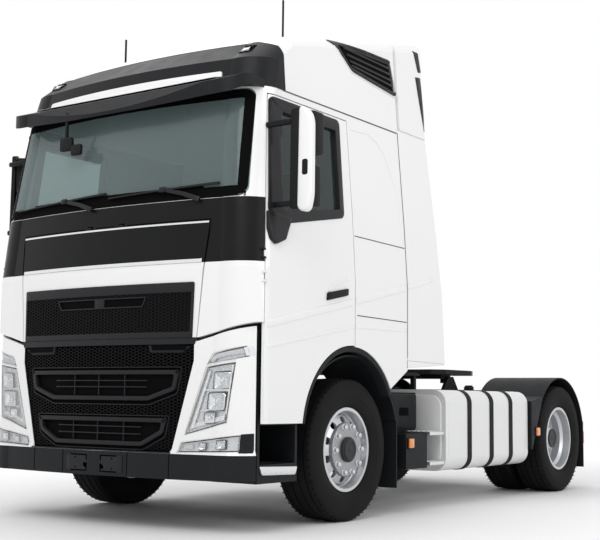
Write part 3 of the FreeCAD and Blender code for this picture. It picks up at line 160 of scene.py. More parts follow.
# the lined space inside the cab
room = {"half": 1.304, "lean": 0.06, "front": 0.98, "rear": 0.70, "floor": 1.40, "top": 2.92}


def paint(name, color, rough, coat, flake=0.0, lining=None):
    # a lining covers the sheets where they face the room
    shade = Shade(name, Metallic=flake, Coat_Weight=coat, Coat_Roughness=0.04)
    cover = shade.between(shade.noise(1.3, 3), tone(color, 0.965), color)
    dull = shade.span(shade.noise(14), rough, rough + 0.08)
    if lining:
        x, y, z = (shade.add("ShaderNodeSeparateXYZ", {}, {"Vector": shade.place}, out) for out in range(3))
        reach = shade.add("ShaderNodeMath", {"operation": "ABSOLUTE"}, {0: x})
        within = (reach + z * room["lean"] < room["half"]) * (y > axle.y - room["front"])
        within = within * (y < axle.y + room["rear"]) * (z > room["floor"]) * (z < room["top"])
        cover = shade.between(within, cover, lining)
        dull = dull + within * 0.5
        shade.feed(Coat_Weight=(1 - within) * coat)
    shade.feed(Base_Color=cover, Roughness=dull)
    shade.bump(shade.noise(260, 1), 0.025, 0.0006)
    return shade.made


def grained(name, color, rough, scale=420, depth=0.35, worn=0.04, shine=0.13):
    shade = Shade(name, Specular_IOR_Level=shine)
    shade.feed(Base_Color=shade.between(shade.noise(3.5, 4), color, tone(color, plus=worn * 0.5)),
               Roughness=shade.span(shade.noise(9), rough - 0.07, rough + 0.09))
    shade.bump(shade.cells(scale) + shade.noise(scale * 0.4, 2) * 0.5, depth, 0.0005)
    return shade.made


def smoothMetal(name, color, rough, metal=1.0, scale=40):
    shade = Shade(name)
    shade.feed(Base_Color=shade.between(shade.noise(scale * 0.2, 3), tone(color, 0.9), color),
               Roughness=shade.span(shade.noise(scale), rough - 0.05, rough + 0.08),
               Metallic=shade.span(shade.noise(5), metal - 0.04, metal))
    shade.bump(shade.noise(scale * 9, 1), 0.04, 0.0004)
    return shade.made


def clearGlass(name, tint, body, solid):
    # light passes as through thin tinted sheet, and the surface mirrors more towards its edges
    shade = Shade(name, Roughness=0.03, Specular_IOR_Level=0.6)
    shade.feed(Base_Color=shade.between(shade.noise(2), body, tone(body, 1.15)))
    through = shade.add("ShaderNodeBsdfTransparent", {}, {"Color": tint})
    rim = shade.add("ShaderNodeLayerWeight", {}, {"Blend": 0.25}, "Facing")
    shade.show(rim * (1 - solid) + solid, through, shade.plain)
    return shade.made


def tyreRubber():
    shade = Shade("tyreRubber", Specular_IOR_Level=0.12)
    dust = shade.noise(7, 5, 0.6)
    shade.feed(Base_Color=shade.ramp(dust, (0.3, grey(0.006)), (0.75, grey(0.012))),
               Roughness=shade.span(dust, 0.62, 0.85))
    shade.bump(shade.noise(180, 3), 0.15, 0.001)
    return shade.made


def wovenCloth():
    shade = Shade("seatCloth", Sheen_Weight=0.3, Roughness=0.9)
    weave = shade.cells(300, feature="SMOOTH_F1")
    shade.feed(Base_Color=shade.between(weave, (0.20, 0.20, 0.21, 1), (0.34, 0.34, 0.35, 1)))
    shade.bump(weave, 0.5, 0.001)
    return shade.made


def facetedMirror():
    shade = Shade("lampReflector", Metallic=1.0)
    facets = shade.cells(60, distance="CHEBYCHEV")
    shade.feed(Base_Color=shade.between(facets, grey(0.78), grey(0.98)),
               Roughness=shade.span(facets, 0.08, 0.22))
    shade.bump(facets, 0.4, 0.002)
    return shade.made


def ribbedLens(name, color, rough=0.15):
    shade = Shade(name, Roughness=rough, Coat_Weight=0.8)
    ribs = shade.add("ShaderNodeTexWave", {"bands_direction": "Z"}, {"Vector": shade.place, "Scale": 60})
    shade.feed(Base_Color=shade.between(ribs, tone(color, 0.6), color))
    shade.bump(ribs, 0.3, 0.001)
    return shade.made


finish = {
    "white": paint("whitePaint", (0.81, 0.815, 0.81, 1), 0.26, 0.7),
    "lined": paint("linedPaint", (0.81, 0.815, 0.81, 1), 0.26, 0.7, lining=(0.10, 0.105, 0.11, 1)),
    "charcoal": grained("charcoalPaint", (0.010, 0.0105, 0.012, 1), 0.38, 600, 0.08, 0.006),
    "satinBlack": grained("satinBlackPaint", (0.006, 0.0062, 0.0066, 1), 0.3, 600, 0.06, 0.003),
    "dark": grained("darkPlastic", (0.007, 0.0073, 0.0082, 1), 0.45, worn=0.006),
    "guard": grained("guardPlastic", (0.010, 0.011, 0.013, 1), 0.5, 260, worn=0.008),
    "mesh": grained("meshPlastic", (0.004, 0.004, 0.0045, 1), 0.5, 500, 0.2, 0.002, 0.08),
    "frame": grained("framePaint", (0.012, 0.0125, 0.0135, 1), 0.5, 120, 0.2, 0.01),
    "iron": grained("castIron", (0.04, 0.042, 0.044, 1), 0.6, 200, 0.6),
    "rubber": grained("blackRubber", (0.008, 0.008, 0.0085, 1), 0.6, 300, 0.2, 0.006),
    "tyre": tyreRubber(),
    "wheel": smoothMetal("wheelSilver", (0.62, 0.63, 0.65, 1), 0.34, 0.75),
    "tank": paint("tankSheet", (0.76, 0.763, 0.765, 1), 0.33, 0.3, 0.12),
    "alloy": smoothMetal("satinAlloy", (0.74, 0.745, 0.75, 1), 0.3),
    "bright": smoothMetal("brightStrip", (0.82, 0.83, 0.85, 1), 0.2),
    "glass": clearGlass("windowGlass", (0.86, 0.95, 0.94, 1), (0.165, 0.205, 0.205, 1), 0.28),
    "sideGlass": clearGlass("sideGlass", (0.80, 0.88, 0.88, 1), (0.030, 0.036, 0.037, 1), 0.15),
    "lens": clearGlass("clearLens", (0.97, 0.975, 0.98, 1), (0.6, 0.61, 0.62, 1), 0.03),
    "reflector": facetedMirror(),
    "orange": ribbedLens("orangeLens", (0.95, 0.28, 0.02, 1)),
    "red": ribbedLens("redLens", (0.55, 0.02, 0.015, 1)),
    "cloth": wovenCloth(),
    "comb": grained("combPlastic", (0.007, 0.0073, 0.008, 1), 0.32, 500, 0.1, 0.003, 0.10),
    "satin": grained("satinTrim", (0.012, 0.0125, 0.0145, 1), 0.32, 500, 0.1, 0.005, 0.18),
    # near black: the real black of the frit, seals and seams, and also painted shade where a thin black slab fills
    # a recess or an opening
    "hollow": grained("blackTrimAndPaintedShade", (0.002, 0.002, 0.0022, 1), 0.7, 300, 0.1, 0.0, 0.04),
    "seam": grained("seamShade", (0.10, 0.105, 0.11, 1), 0.7, 300, 0.1, 0.0),
    "groove": grained("tyreGroove", (0.003, 0.003, 0.0032, 1), 0.8, 300, 0.1, 0.0, 0.08),
    "lampTrim": smoothMetal("lampTrim", (0.80, 0.81, 0.82, 1), 0.25, 0.5),
    "lampWhite": ribbedLens("lampWhite", (0.88, 0.9, 0.92, 1), 0.2),
    "mirror": smoothMetal("mirrorFace", (0.6, 0.62, 0.64, 1), 0.05),
    "bolt": smoothMetal("boltMetal", (0.72, 0.73, 0.75, 1), 0.22, 0.9),
    "ringGrey": smoothMetal("hubRingGrey", (0.36, 0.365, 0.38, 1), 0.36, 0.75),
    "hubGrey": grained("hubGrey", (0.030, 0.031, 0.034, 1), 0.35, 300, 0.2, 0.01),
}
print("materials", len(finish))

nodeFinish = {
    "lined": "cab_shell door_left door_right",
    "white": "cab_roof air_deflectors front_lid corner_panels headlamp_surround mirror_left mirror_right",
    "charcoal": "roof_front_panel sun_visor",
    "satinBlack": "lid_dark_panel cowl_panel",
    "mesh": "lid_mesh lower_grille",
    "guard": "bumper front_mudguards rear_mudguards entry_steps battery_box",
    "frame": "frame_rails crossmembers front_axle rear_axle suspension knuckle_left knuckle_right tie_rod"
             " rear_beam fifth_wheel_plate fifth_wheel_base tank_brackets driveline catwalk",
    "iron": "engine_block",
    "glass": "windscreen",
    "sideGlass": "door_glass_left door_glass_right",
    "lens": "marker_lamps",
    "red": "tail_lamps",
    "rubber": "tank_straps aerials",
    "tyre": "tyre_front_left tyre_front_right tyres_rear_left tyres_rear_right",
    "wheel": "rim_front_left rim_front_right rims_rear_left rims_rear_right",
    "tank": "fuel_tank",
    "alloy": "side_steps exhaust_and_air_units",
    "dark": "dashboard",
    "cloth": "seats_and_bunk",
}
for look, names in nodeFinish.items():
    for name in names.split():
        nodes[name].data.materials.clear()
        nodes[name].data.materials.append(finish[look])


# drawing tools: u runs across a side, v up it and h off the solids' surface

def surfaceOf(names):
    points = []
    faces = []
    for name in names:
        mesh = nodes[name].data
        start = len(points)
        points += [vert.co.copy() for vert in mesh.vertices]
        faces += [[start + corner for corner in face.vertices] for face in mesh.polygons]
    return BVHTree.FromPolygons(points, faces)


class Side:
    # level takes every depth at one height, ends takes it from the two ends of an opening
    def __init__(self, across, up, out, names=(), level=None, ends=None):
        self.across = Vector(across)
        self.up = Vector(up)
        self.out = Vector(out)
        self.tree = surfaceOf(names) if names else None
        self.level = level
        self.ends = ends
        self.last = 0.0

    def cast(self, u, v):
        start = self.across * u + self.up * v + self.out * 6 + origin
        hit = self.tree.ray_cast(start, -self.out)[0]
        return -9.0 if hit is None else (hit - origin).dot(self.out)

    def nearby(self, u, v, step):
        return max(self.cast(u + du, v + dv) for du, dv in ((step, 0), (-step, 0), (0, step), (0, -step)))

    def depth(self, u, v):
        # where a seam or the sheet's end lets the ray through, the nearest sheet counts
        straight = self.cast(u, v)
        near = self.nearby(u, v, 0.009)
        if near > straight + 0.02:
            straight = near
        if straight < -8:
            straight = self.nearby(u, v, 0.03)
        if straight < -8:
            straight = self.last
        self.last = straight
        return straight

    def ground(self, u, v):
        if not self.tree:
            return 0.0
        if self.level:
            return self.depth(u, self.level)
        if self.ends:
            first, second = self.ends(v)
            share = min(max((u - first) / (second - first), 0), 1)
            return self.depth(first, v) * (1 - share) + self.depth(second, v) * share
        return self.depth(u, v)

    def at(self, u, v, h):
        return self.across * u + self.up * v + self.out * (self.ground(u, v) + h) + origin


def frontOf(*names, level=None):
    return Side((1, 0, 0), (0, 0, 1), (0, -1, 0), names, level)


def flankOf(hand, *names, level=None, ends=None):
    return Side((0, 1, 0), (0, 0, 1), (hand, 0, 0), names, level, ends)


def boxOutline(left, low, right, top):
    return [(left, low), (right, low), (right, top), (left, top)]


def evenOutline(halfLow, low, halfTop, top):
    return [(-halfLow, low), (halfLow, low), (halfTop, top), (-halfTop, top)]


def wholeOutline(half):
    # from the right half, drawn upwards
    return half + [(-u, v) for u, v in reversed(half)]


def grownOutline(outline, reach):
    middle = Vector((sum(u for u, v in outline), sum(v for u, v in outline))) / len(outline)
    return [(u + reach * math.copysign(1, u - middle.x), v + reach * math.copysign(1, v - middle.y))
            for u, v in outline]


atCorners = dict(profile=0.5, affect="VERTICES", material=-1)
atEdges = dict(profile=0.5, affect="EDGES", material=-1)


def allOf(bm):
    return bm.verts[:] + bm.edges[:] + bm.faces[:]


def gridded(bm, cell):
    for axis in (0, 1):
        places = [vert.co[axis] for vert in bm.verts]
        low, high = min(places), max(places)
        count = int((high - low) / cell)
        for step in range(1, count + 1):
            point = Vector((0, 0, 0))
            point[axis] = low + step * (high - low) / (count + 1)
            normal = Vector((0, 0, 0))
            normal[axis] = 1
            bmesh.ops.bisect_plane(bm, geom=allOf(bm), plane_co=point, plane_no=normal)
    return bm


def raised(bm, high, edge=0.0, cell=0.0):
    # gives a flat drawing its height, and cuts it into cells that can follow a surface
    grown = bmesh.ops.extrude_face_region(bm, geom=bm.faces[:], use_keep_orig=True)
    top = {item for item in grown["geom"] if isinstance(item, bmesh.types.BMVert)}
    bmesh.ops.translate(bm, verts=list(top), vec=(0, 0, high))
    if edge:
        rim = [line for line in bm.edges if line.verts[0] in top and line.verts[1] in top]
        rim = [line for line in rim if any(face.normal.z < 0.5 for face in line.link_faces)]
        bmesh.ops.bevel(bm, geom=rim, offset=edge, segments=2, **atEdges)
    return gridded(bm, cell) if cell else bm


def faceUp(bm):
    bmesh.ops.recalc_face_normals(bm, faces=bm.faces[:])
    if bm.faces[:][0].normal.z < 0:
        bmesh.ops.reverse_faces(bm, faces=bm.faces[:])


def slab(outline, low, high, corner=0.0, edge=0.0, cell=0.0, rim=0.0):
    # a plate from its outline, or with rim only a band of that width along it
    bm = bmesh.new()
    bm.faces.new([bm.verts.new((u, v, low)) for u, v in outline])
    if corner:
        bmesh.ops.bevel(bm, geom=bm.verts[:], offset=corner, segments=4, **atCorners)
    if rim:
        face = bm.faces[:][0]
        bmesh.ops.inset_region(bm, faces=[face], thickness=rim, use_boundary=True, use_even_offset=True)
        bmesh.ops.delete(bm, geom=[face], context="FACES_ONLY")
    faceUp(bm)
    return raised(bm, high - low, edge, cell)


def collar(outer, inner, low, high, corner, innerCorner, edge, cell):
    # a band between two outlines with rounded corners
    bm = bmesh.new()
    for outline, reach in ((outer, corner), (inner, innerCorner)):
        start = len(bm.verts)
        bm.faces.new([bm.verts.new((u, v, low)) for u, v in outline])
        bm.verts.ensure_lookup_table()
        bmesh.ops.bevel(bm, geom=bm.verts[start:], offset=reach, segments=4, **atCorners)
    bmesh.ops.delete(bm, geom=bm.faces[:], context="FACES_ONLY")
    bmesh.ops.bridge_loops(bm, edges=bm.edges[:])
    faceUp(bm)
    return raised(bm, high - low, edge, cell)


def arcThrough(a, b, c, inset, count):
    # points along the circle through three points, moved towards its middle
    d = 2 * (a[0] * (b[1] - c[1]) + b[0] * (c[1] - a[1]) + c[0] * (a[1] - b[1]))
    squares = [u * u + v * v for u, v in (a, b, c)]
    u0 = (squares[0] * (b[1] - c[1]) + squares[1] * (c[1] - a[1]) + squares[2] * (a[1] - b[1])) / d
    v0 = (squares[0] * (c[0] - b[0]) + squares[1] * (a[0] - c[0]) + squares[2] * (b[0] - a[0])) / d
    radius = math.hypot(a[0] - u0, a[1] - v0) - inset
    first = math.atan2(a[1] - v0, a[0] - u0)
    last = math.atan2(c[1] - v0, c[0] - u0)
    if first < 0:
        first += 2 * math.pi
    angles = [first + (last - first) * step / count for step in range(count + 1)]
    return [(u0 + radius * math.cos(angle), v0 + radius * math.sin(angle)) for angle in angles]


def ribbon(points, width, low, high, cell=0.05, edge=0.0, taper=1.0):
    # a strip of even or tapering width along a line
    left = []
    right = []
    for index, (u, v) in enumerate(points):
        before = Vector(points[max(index - 1, 0)])
        after = Vector(points[min(index + 1, len(points) - 1)])
        ahead = (after - before).normalized()
        half = width / 2 * (1 + (taper - 1) * index / (len(points) - 1))
        left.append((u - ahead.y * half, v + ahead.x * half))
        right.append((u + ahead.y * half, v - ahead.x * half))
    bm = bmesh.new()
    rows = [[bm.verts.new((u, v, low)) for u, v in line] for line in (left, right)]
    for a, b, c, d in zip(rows[0], rows[0][1:], rows[1][1:], rows[1]):
        bm.faces.new((d, c, b, a))
    return raised(bm, high - low, edge, cell)


def turnedPart(profile, steps, centre=(0, 0, 0), axis=(0, 0, 1), closed=False):
    # profile points are (radius, along the axis)
    bm = bmesh.new()
    axis = Vector(axis)
    side = axis.orthogonal().normalized()
    verts = [bm.verts.new(Vector(centre) + side * radius + axis * along) for radius, along in profile]
    edges = [bm.edges.new(pair) for pair in zip(verts, verts[1:])]
    if closed:
        edges.append(bm.edges.new((verts[-1], verts[0])))
    bmesh.ops.spin(bm, geom=verts + edges, cent=centre, axis=axis, angle=2 * math.pi, steps=steps,
                   use_merge=True)
    bmesh.ops.remove_doubles(bm, verts=bm.verts[:], dist=1e-5)
    return bm


def block(low, high, edge=0.0, segments=2):
    # a bevelled solid between two corners
    bm = bmesh.new()
    bmesh.ops.create_cube(bm, size=1)
    for vert in bm.verts:
        for axis in range(3):
            vert.co[axis] = low[axis] if vert.co[axis] < 0 else high[axis]
    if edge:
        bmesh.ops.bevel(bm, geom=bm.edges[:], offset=edge, segments=segments, **atEdges)
    return bm


def moved(bm, matrix):
    bmesh.ops.transform(bm, matrix=matrix, verts=bm.verts[:])
    return bm


def shifted(bm, u, v, h):
    return moved(bm, Matrix.Translation((u, v, h)))


class Piece:
    def __init__(self, name, body, slot, look, *replaced):
        self.name = name
        self.body = body
        self.slot = slot
        self.look = look
        self.replaced = replaced
        self.bm = bmesh.new()

    def add(self, part, side=None, twin=False, at=None):
        # twin adds the mirror image, at keeps the part stiff on one place of the side
        for sign in ((1, -1) if twin else (1,)):
            copy = part.copy()
            for vert in copy.verts:
                u, v, h = vert.co
                if at:
                    base = side.at(sign * at[0], at[1], 0)
                    vert.co = base + side.across * (sign * u) + side.up * v + side.out * h
                elif side:
                    vert.co = side.at(sign * u, v, h)
                else:
                    vert.co = (sign * u, v + axle.y, h)
                vert.co.y = max(vert.co.y, cadBox[0][1] + 0.0002)  # nothing stands ahead of the solids
            mesh = bpy.data.meshes.new("part")
            copy.to_mesh(mesh)
            copy.free()
            self.bm.from_mesh(mesh)
            bpy.data.meshes.remove(mesh)
        part.free()
        return self

    def done(self, sharp=35):
        bmesh.ops.remove_doubles(self.bm, verts=self.bm.verts[:], dist=1e-6)
        bmesh.ops.recalc_face_normals(self.bm, faces=self.bm.faces[:])
        mesh = bpy.data.meshes.new(self.name)
        self.bm.to_mesh(mesh)
        self.bm.free()
        mesh.shade_smooth()
        mesh.set_sharp_from_angle(angle=math.radians(sharp))
        mesh.materials.append(finish[self.look])
        piece = bpy.data.objects.new(self.name, mesh)
        bpy.context.scene.collection.objects.link(piece)
        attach(piece, self.body)
        if self.replaced:
            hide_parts(*self.replaced)
        print(self.name, len(mesh.polygons))


def inside(point, outline):
    # whether a point lies in a convex outline drawn anticlockwise
    return all((b[0] - a[0]) * (point[1] - a[1]) - (b[1] - a[1]) * (point[0] - a[0]) > 0
               for a, b in zip(outline, outline[1:] + outline[:1]))


def honeycomb(outline, holes, low, high, pitch=0.034, flat=0.62, rib=0.0055):
    # flattened hexagons in rows, kept within an anticlockwise outline and off the holes
    bm = bmesh.new()
    cell = bmesh.ops.create_circle(bm, cap_ends=True, segments=6, radius=1)["verts"]
    reach = pitch / math.sqrt(3)
    bmesh.ops.scale(bm, verts=cell, vec=(reach, reach * flat, 1))
    face = bm.faces[:][0]
    bmesh.ops.inset_region(bm, faces=[face], thickness=rib / 2, use_boundary=True, use_even_offset=True)
    bmesh.ops.delete(bm, geom=[face], context="FACES_ONLY")
    us = [u for u, v in outline]
    vs = [v for u, v in outline]
    wide = reach * 1.5
    tall = reach * flat * math.sqrt(3)
    one = bpy.data.meshes.new("cell")
    bm.to_mesh(one)
    bm.free()
    field = bmesh.new()
    for column in range(int((max(us) - min(us)) / wide) + 2):
        for row in range(int((max(vs) - min(vs)) / tall) + 2):
            u = min(us) + column * wide
            v = min(vs) + (row + (column % 2) / 2) * tall
            near = [(u, v), (u + reach, v), (u - reach, v), (u, v + tall / 2), (u, v - tall / 2)]
            if not any(inside(point, outline) for point in near):
                continue
            if any(inside((u, v), hole) for hole in holes):
                continue
            start = len(field.verts)
            field.from_mesh(one)
            field.verts.ensure_lookup_table()
            bmesh.ops.translate(field, verts=field.verts[start:], vec=(u, v, low))
    bpy.data.meshes.remove(one)
    bmesh.ops.remove_doubles(field, verts=field.verts[:], dist=2e-4)
    for a, b in zip(outline, outline[1:] + outline[:1]):
        away = Vector((b[1] - a[1], a[0] - b[0], 0))
        bmesh.ops.bisect_plane(field, geom=allOf(field), plane_co=(a[0], a[1], low), plane_no=away,
                               clear_outer=True)
    return raised(field, high - low)


# the lid, the grille and the lamps

lidSlot = evenOutline(0.385, 1.455, 0.420, 1.526)
lidLook = {
    "comb": dict(outline=evenOutline(0.778, 1.268, 0.787, 1.545), holes=[lidSlot], low=0.0004, high=0.007),
    "rims": [  # band over the comb, frame, foot strip, slot and its post
        dict(outline=evenOutline(0.788, 1.545, 0.789, 1.603), low=0.0004, high=0.010, edge=0.002, cell=0.05),
        dict(outline=evenOutline(0.786, 1.2515, 0.795, 1.611), low=0.0003, high=0.009, corner=0.012,
             edge=0.002, cell=0.05, rim=0.018),
        dict(outline=evenOutline(0.786, 1.2485, 0.786, 1.287), low=0.0003, high=0.009, edge=0.002, cell=0.05),
        dict(outline=lidSlot, low=0.0004, high=0.012, corner=0.010, edge=0.002, cell=0.05, rim=0.009),
        dict(outline=evenOutline(0.045, 1.459, 0.045, 1.522), low=0.0008, high=0.010, edge=0.002)],
    "hollow": dict(outline=lidSlot, low=0.0002, high=0.0012, corner=0.010, cell=0.05),
    "lowStrip": dict(points=[(-0.842, 1.750), (0.842, 1.750)], width=0.024, low=0.0006, high=0.006, cell=0.04,
                     edge=0.002),
    "highStrip": dict(points=[(-0.875, 2.006), (0.875, 2.006)], width=0.013, low=0.0006, high=0.005,
                      cell=0.04, edge=0.0015),
}


def makeLidLook():
    look = lidLook
    lid = frontOf("front_lid", "lid_mesh")
    Piece("lidHoneycomb", "front_lid", "dark_plastic", "comb").add(honeycomb(**look["comb"]), lid).done()
    rim = Piece("lidMeshRim", "front_lid", "dark_plastic", "satin")
    for part in look["rims"]:
        rim.add(slab(**part), lid)
    rim.done()
    # a thin near-black slab fills the slot: painted shade for the dark opening
    Piece("lidSlotPaintedShade", "front_lid", "dark_plastic", "hollow").add(slab(**look["hollow"]), lid).done()
    strip = Piece("lidStrips", "front_lid", "tank_aluminium", "bright")
    strip.add(ribbon(**look["lowStrip"]), frontOf("front_lid", "lid_dark_panel"))
    strip.add(ribbon(**look["highStrip"]), frontOf("lid_dark_panel"))
    strip.done()


frontLevel = 1.228  # height at which the lower front's depth is read
grilleLook = {
    "field": wholeOutline([(0.638, 0.507), (0.799, 1.100), (0.799, 1.209)]),
    "frames": [wholeOutline([(0.445, 0.838), (0.660, 0.908), (0.690, 1.040)]),
               wholeOutline([(0.400, 0.540), (0.570, 0.626), (0.600, 0.727)])],
    "lips": [wholeOutline([(0.447, 0.808), (0.676, 0.884), (0.708, 1.062)]),
             wholeOutline([(0.410, 0.514), (0.588, 0.603), (0.619, 0.744)])],
    "slats": [(0.425, 0.928, 0.970), (0.385, 0.618, 0.665)],  # half width and heights in each frame
    "posts": (-0.235, 0.0, 0.235), "postShort": 0.02, "combShort": 0.012,
    "back": dict(low=-0.030, high=-0.025, cell=0.05),
    "comb": dict(low=-0.0252, high=-0.012),
    "frame": dict(low=-0.025, high=0.003, corner=0.018, edge=0.006, cell=0.05, rim=0.030),
    "lip": dict(low=-0.025, high=-0.006, corner=0.022, edge=0.002, cell=0.05, rim=0.007),
    "slat": dict(width=0.008, low=-0.0252, high=-0.008, edge=0.002),
    "post": dict(width=0.007, low=-0.0252, high=-0.010, edge=0.002),
    "border": dict(low=-0.025, high=-0.003, edge=0.003, cell=0.05, rim=0.014),
    "covers": [evenOutline(0.805, 1.206, 0.822, 1.2465), evenOutline(0.650, 0.5015, 0.650, 0.509)],
    "cover": dict(low=0.0006, high=0.003, cell=0.05),
}


def makeGrilleLook():
    look = grilleLook
    face = frontOf("headlamp_surround", level=frontLevel)
    # the sheet behind the honeycomb is near black: painted shade for the dark space behind the grille
    back = Piece("grilleBackPaintedShade", "chassis", "dark_plastic", "hollow", "lower_grille")
    back.add(slab(look["field"], **look["back"]), face).done()
    comb = Piece("grilleHoneycomb", "chassis", "dark_plastic", "comb", "lower_grille")
    field = grownOutline(look["field"], -look["combShort"])
    comb.add(honeycomb(field, look["lips"], **look["comb"]), face).done()
    trim = Piece("grilleFrames", "chassis", "dark_plastic", "satin", "lower_grille")
    for outer, lip, (reach, *levels) in zip(look["frames"], look["lips"], look["slats"]):
        trim.add(slab(outer, **look["frame"]), face)
        trim.add(slab(lip, **look["lip"]), face)
        for level in levels:
            trim.add(ribbon([(-reach, level), (reach, level)], **look["slat"]), face)
        low = min(v for u, v in outer) + look["postShort"]
        high = max(v for u, v in outer) - look["postShort"]
        for x in look["posts"]:
            trim.add(ribbon([(x, low), (x, high)], **look["post"]), face)
    trim.add(slab(look["field"], **look["border"]), face).done()
    cover = Piece("grilleTopCover", "chassis", "dark_plastic", "satin")
    for outline in look["covers"]:
        cover.add(slab(outline, **look["cover"]), frontOf("headlamp_surround"))
    cover.done()


lampLook = {
    "glasses": [[(0.752, 0.632), (1.043, 0.713), (1.092, 1.080), (0.903, 1.051)],  # head, day and fog lamp
                [(0.908, 1.081), (1.085, 1.110), (1.158, 1.130), (1.145, 1.185), (0.951, 1.137)],
                [(0.702, 0.518), (1.114, 0.530), (1.123, 0.621), (0.725, 0.567)]],
    "floor": dict(low=-0.027, high=-0.024, cell=0.04),
    "wall": dict(low=-0.026, high=-0.0015, rim=0.008, cell=0.04),
    "lens": dict(low=-0.0012, high=0.0004, edge=0.0005, cell=0.04),
    "seal": dict(low=0.0003, high=0.0028, cell=0.04, rim=0.007), "sealWide": 0.009,
    "headBowls": [(1.005, 0.972, 0.066), (0.965, 0.838, 0.068), (0.915, 0.733, 0.042)],  # u, v and half width
    "fogBowls": [(0.865, 0.552, 0.026), (1.005, 0.566, 0.034)],
    "headDeep": 0.018, "fogDeep": 0.016,
    "cap": [(0.0, 0.012), (0.14, 0.011), (0.2, 0.004), (0.2, -0.004)], "capSeat": -0.020,
    "bowlShape": [(-0.92, -1.05), (0.98, -0.88), (1.06, 1.0), (-0.78, 0.92)],  # shares of the half width
    "bowlRings": [(0.08, 0.002, 0), (0.03, -0.006, 0), (0.16, 0, -0.3), (0.2, 0, -0.3), (0.2, 0, -0.25),
                  (0.12, 0, -0.1)],  # inset, drop, drop as a share of the depth
    "chrome": [[(0.770, 0.655), (0.800, 0.665), (0.925, 1.035), (0.905, 1.032)],
               [(0.800, 0.668), (1.030, 0.722), (1.036, 0.756), (0.815, 0.700)],
               [(0.880, 0.905), (1.060, 0.905), (1.062, 0.918), (0.886, 0.918)],
               [(0.850, 0.775), (1.040, 0.785), (1.042, 0.797), (0.856, 0.787)],
               [(1.035, 0.760), (1.046, 0.762), (1.086, 1.070), (1.074, 1.068)]],
    "bar": dict(low=-0.018, high=-0.006, edge=0.002, cell=0.04),
    "dayBar": dict(points=[(0.925, 1.096), (0.965, 1.128), (1.140, 1.160)], width=0.030, low=-0.016,
                   high=-0.004, cell=0.04, edge=0.003),
    "fogBar": dict(outline=[(0.735, 0.530), (0.800, 0.535), (0.800, 0.562), (0.742, 0.556)], low=-0.018,
                   high=-0.005, edge=0.002),
    "dayEnd": dict(outline=[(1.150, 1.130), (1.186, 1.134), (1.180, 1.190), (1.138, 1.184)], low=0.0008,
                   high=0.004, corner=0.004, edge=0.001, cell=0.02),
    "towCover": dict(outline=[(1.125, 0.515), (1.185, 0.515), (1.185, 0.640), (1.132, 0.634)], low=0.0004,
                     high=0.003, corner=0.004, edge=0.001, cell=0.03),
    "towCap": [(0.0005, 0.0050), (0.012, 0.0050), (0.016, 0.0035), (0.017, 0.0005)],
}


def bowlOutline(u, v, wide, tall):
    return [(u + a * wide, v + b * tall) for a, b in lampLook["bowlShape"]]


def bowl(u, v, radius, deep):
    # a square-cornered reflector that narrows to its lamp seat
    bm = bmesh.new()
    bm.faces.new([bm.verts.new((x, y, -0.004)) for x, y in bowlOutline(u, v, radius, radius * 0.82)])
    bmesh.ops.bevel(bm, geom=bm.verts[:], offset=radius * 0.25, segments=3, **atCorners)
    face = bm.faces[:][0]
    for width, drop, share in lampLook["bowlRings"]:
        bmesh.ops.inset_region(bm, faces=[face], thickness=radius * width, use_boundary=True)
        bmesh.ops.translate(bm, verts=face.verts[:], vec=(0, 0, drop + share * deep))
    return bm


def makeLampLook():
    look = lampLook
    face = frontOf("front_lamps")
    around = frontOf("headlamp_surround", "front_lamps")
    shell = Piece("lampHousings", "chassis", "dark_plastic", "lampTrim", "front_lamps")
    mirror = Piece("lampReflectors", "chassis", "lamp_lens", "reflector")
    lens = Piece("lampLenses", "chassis", "lamp_lens", "lens")
    glow = Piece("dayLightBars", "chassis", "lamp_lens", "lampWhite")
    rim = Piece("lampSurrounds", "chassis", "rubber", "hollow")
    for outline in look["glasses"]:
        shell.add(slab(outline, **look["floor"]), face, twin=True)
        shell.add(slab(outline, **look["wall"]), face, twin=True)
        lens.add(slab(outline, **look["lens"]), face, twin=True)
    for u, v, radius in look["headBowls"] + look["fogBowls"]:
        square = bowlOutline(u, v, radius * 1.16, radius * 0.95)
        rim.add(slab(square, -0.016, -0.0062, corner=radius * 0.28, rim=radius * 0.13), face, twin=True)
    for u, v, radius in look["headBowls"]:
        mirror.add(bowl(u, v, radius, look["headDeep"]), face, twin=True)
        cap = [(radius * share, h) for share, h in look["cap"]]
        mirror.add(shifted(turnedPart(cap, 20), u, v, look["capSeat"]), face, twin=True)
    for u, v, radius in look["fogBowls"]:
        mirror.add(bowl(u, v, radius, look["fogDeep"]), face, twin=True)
    for bar in look["chrome"]:
        mirror.add(slab(bar, **look["bar"]), face, twin=True)
    glow.add(ribbon(**look["dayBar"]), face, twin=True)
    glow.add(slab(**look["fogBar"]), face, twin=True)
    glow.add(slab(**look["dayEnd"]), around, twin=True)
    for piece in (shell, mirror, lens, glow):
        piece.done(28)
    for outline in look["glasses"]:
        rim.add(slab(grownOutline(outline, look["sealWide"]), **look["seal"]), around, twin=True)
    rim.done()
    corner = Piece("towCovers", "chassis", "dark_plastic", "guard")
    hole = frontOf("headlamp_surround")
    corner.add(slab(**look["towCover"]), hole, twin=True)
    corner.add(shifted(turnedPart(look["towCap"], 20), 1.165, 0.565, 0), hole, twin=True).done()


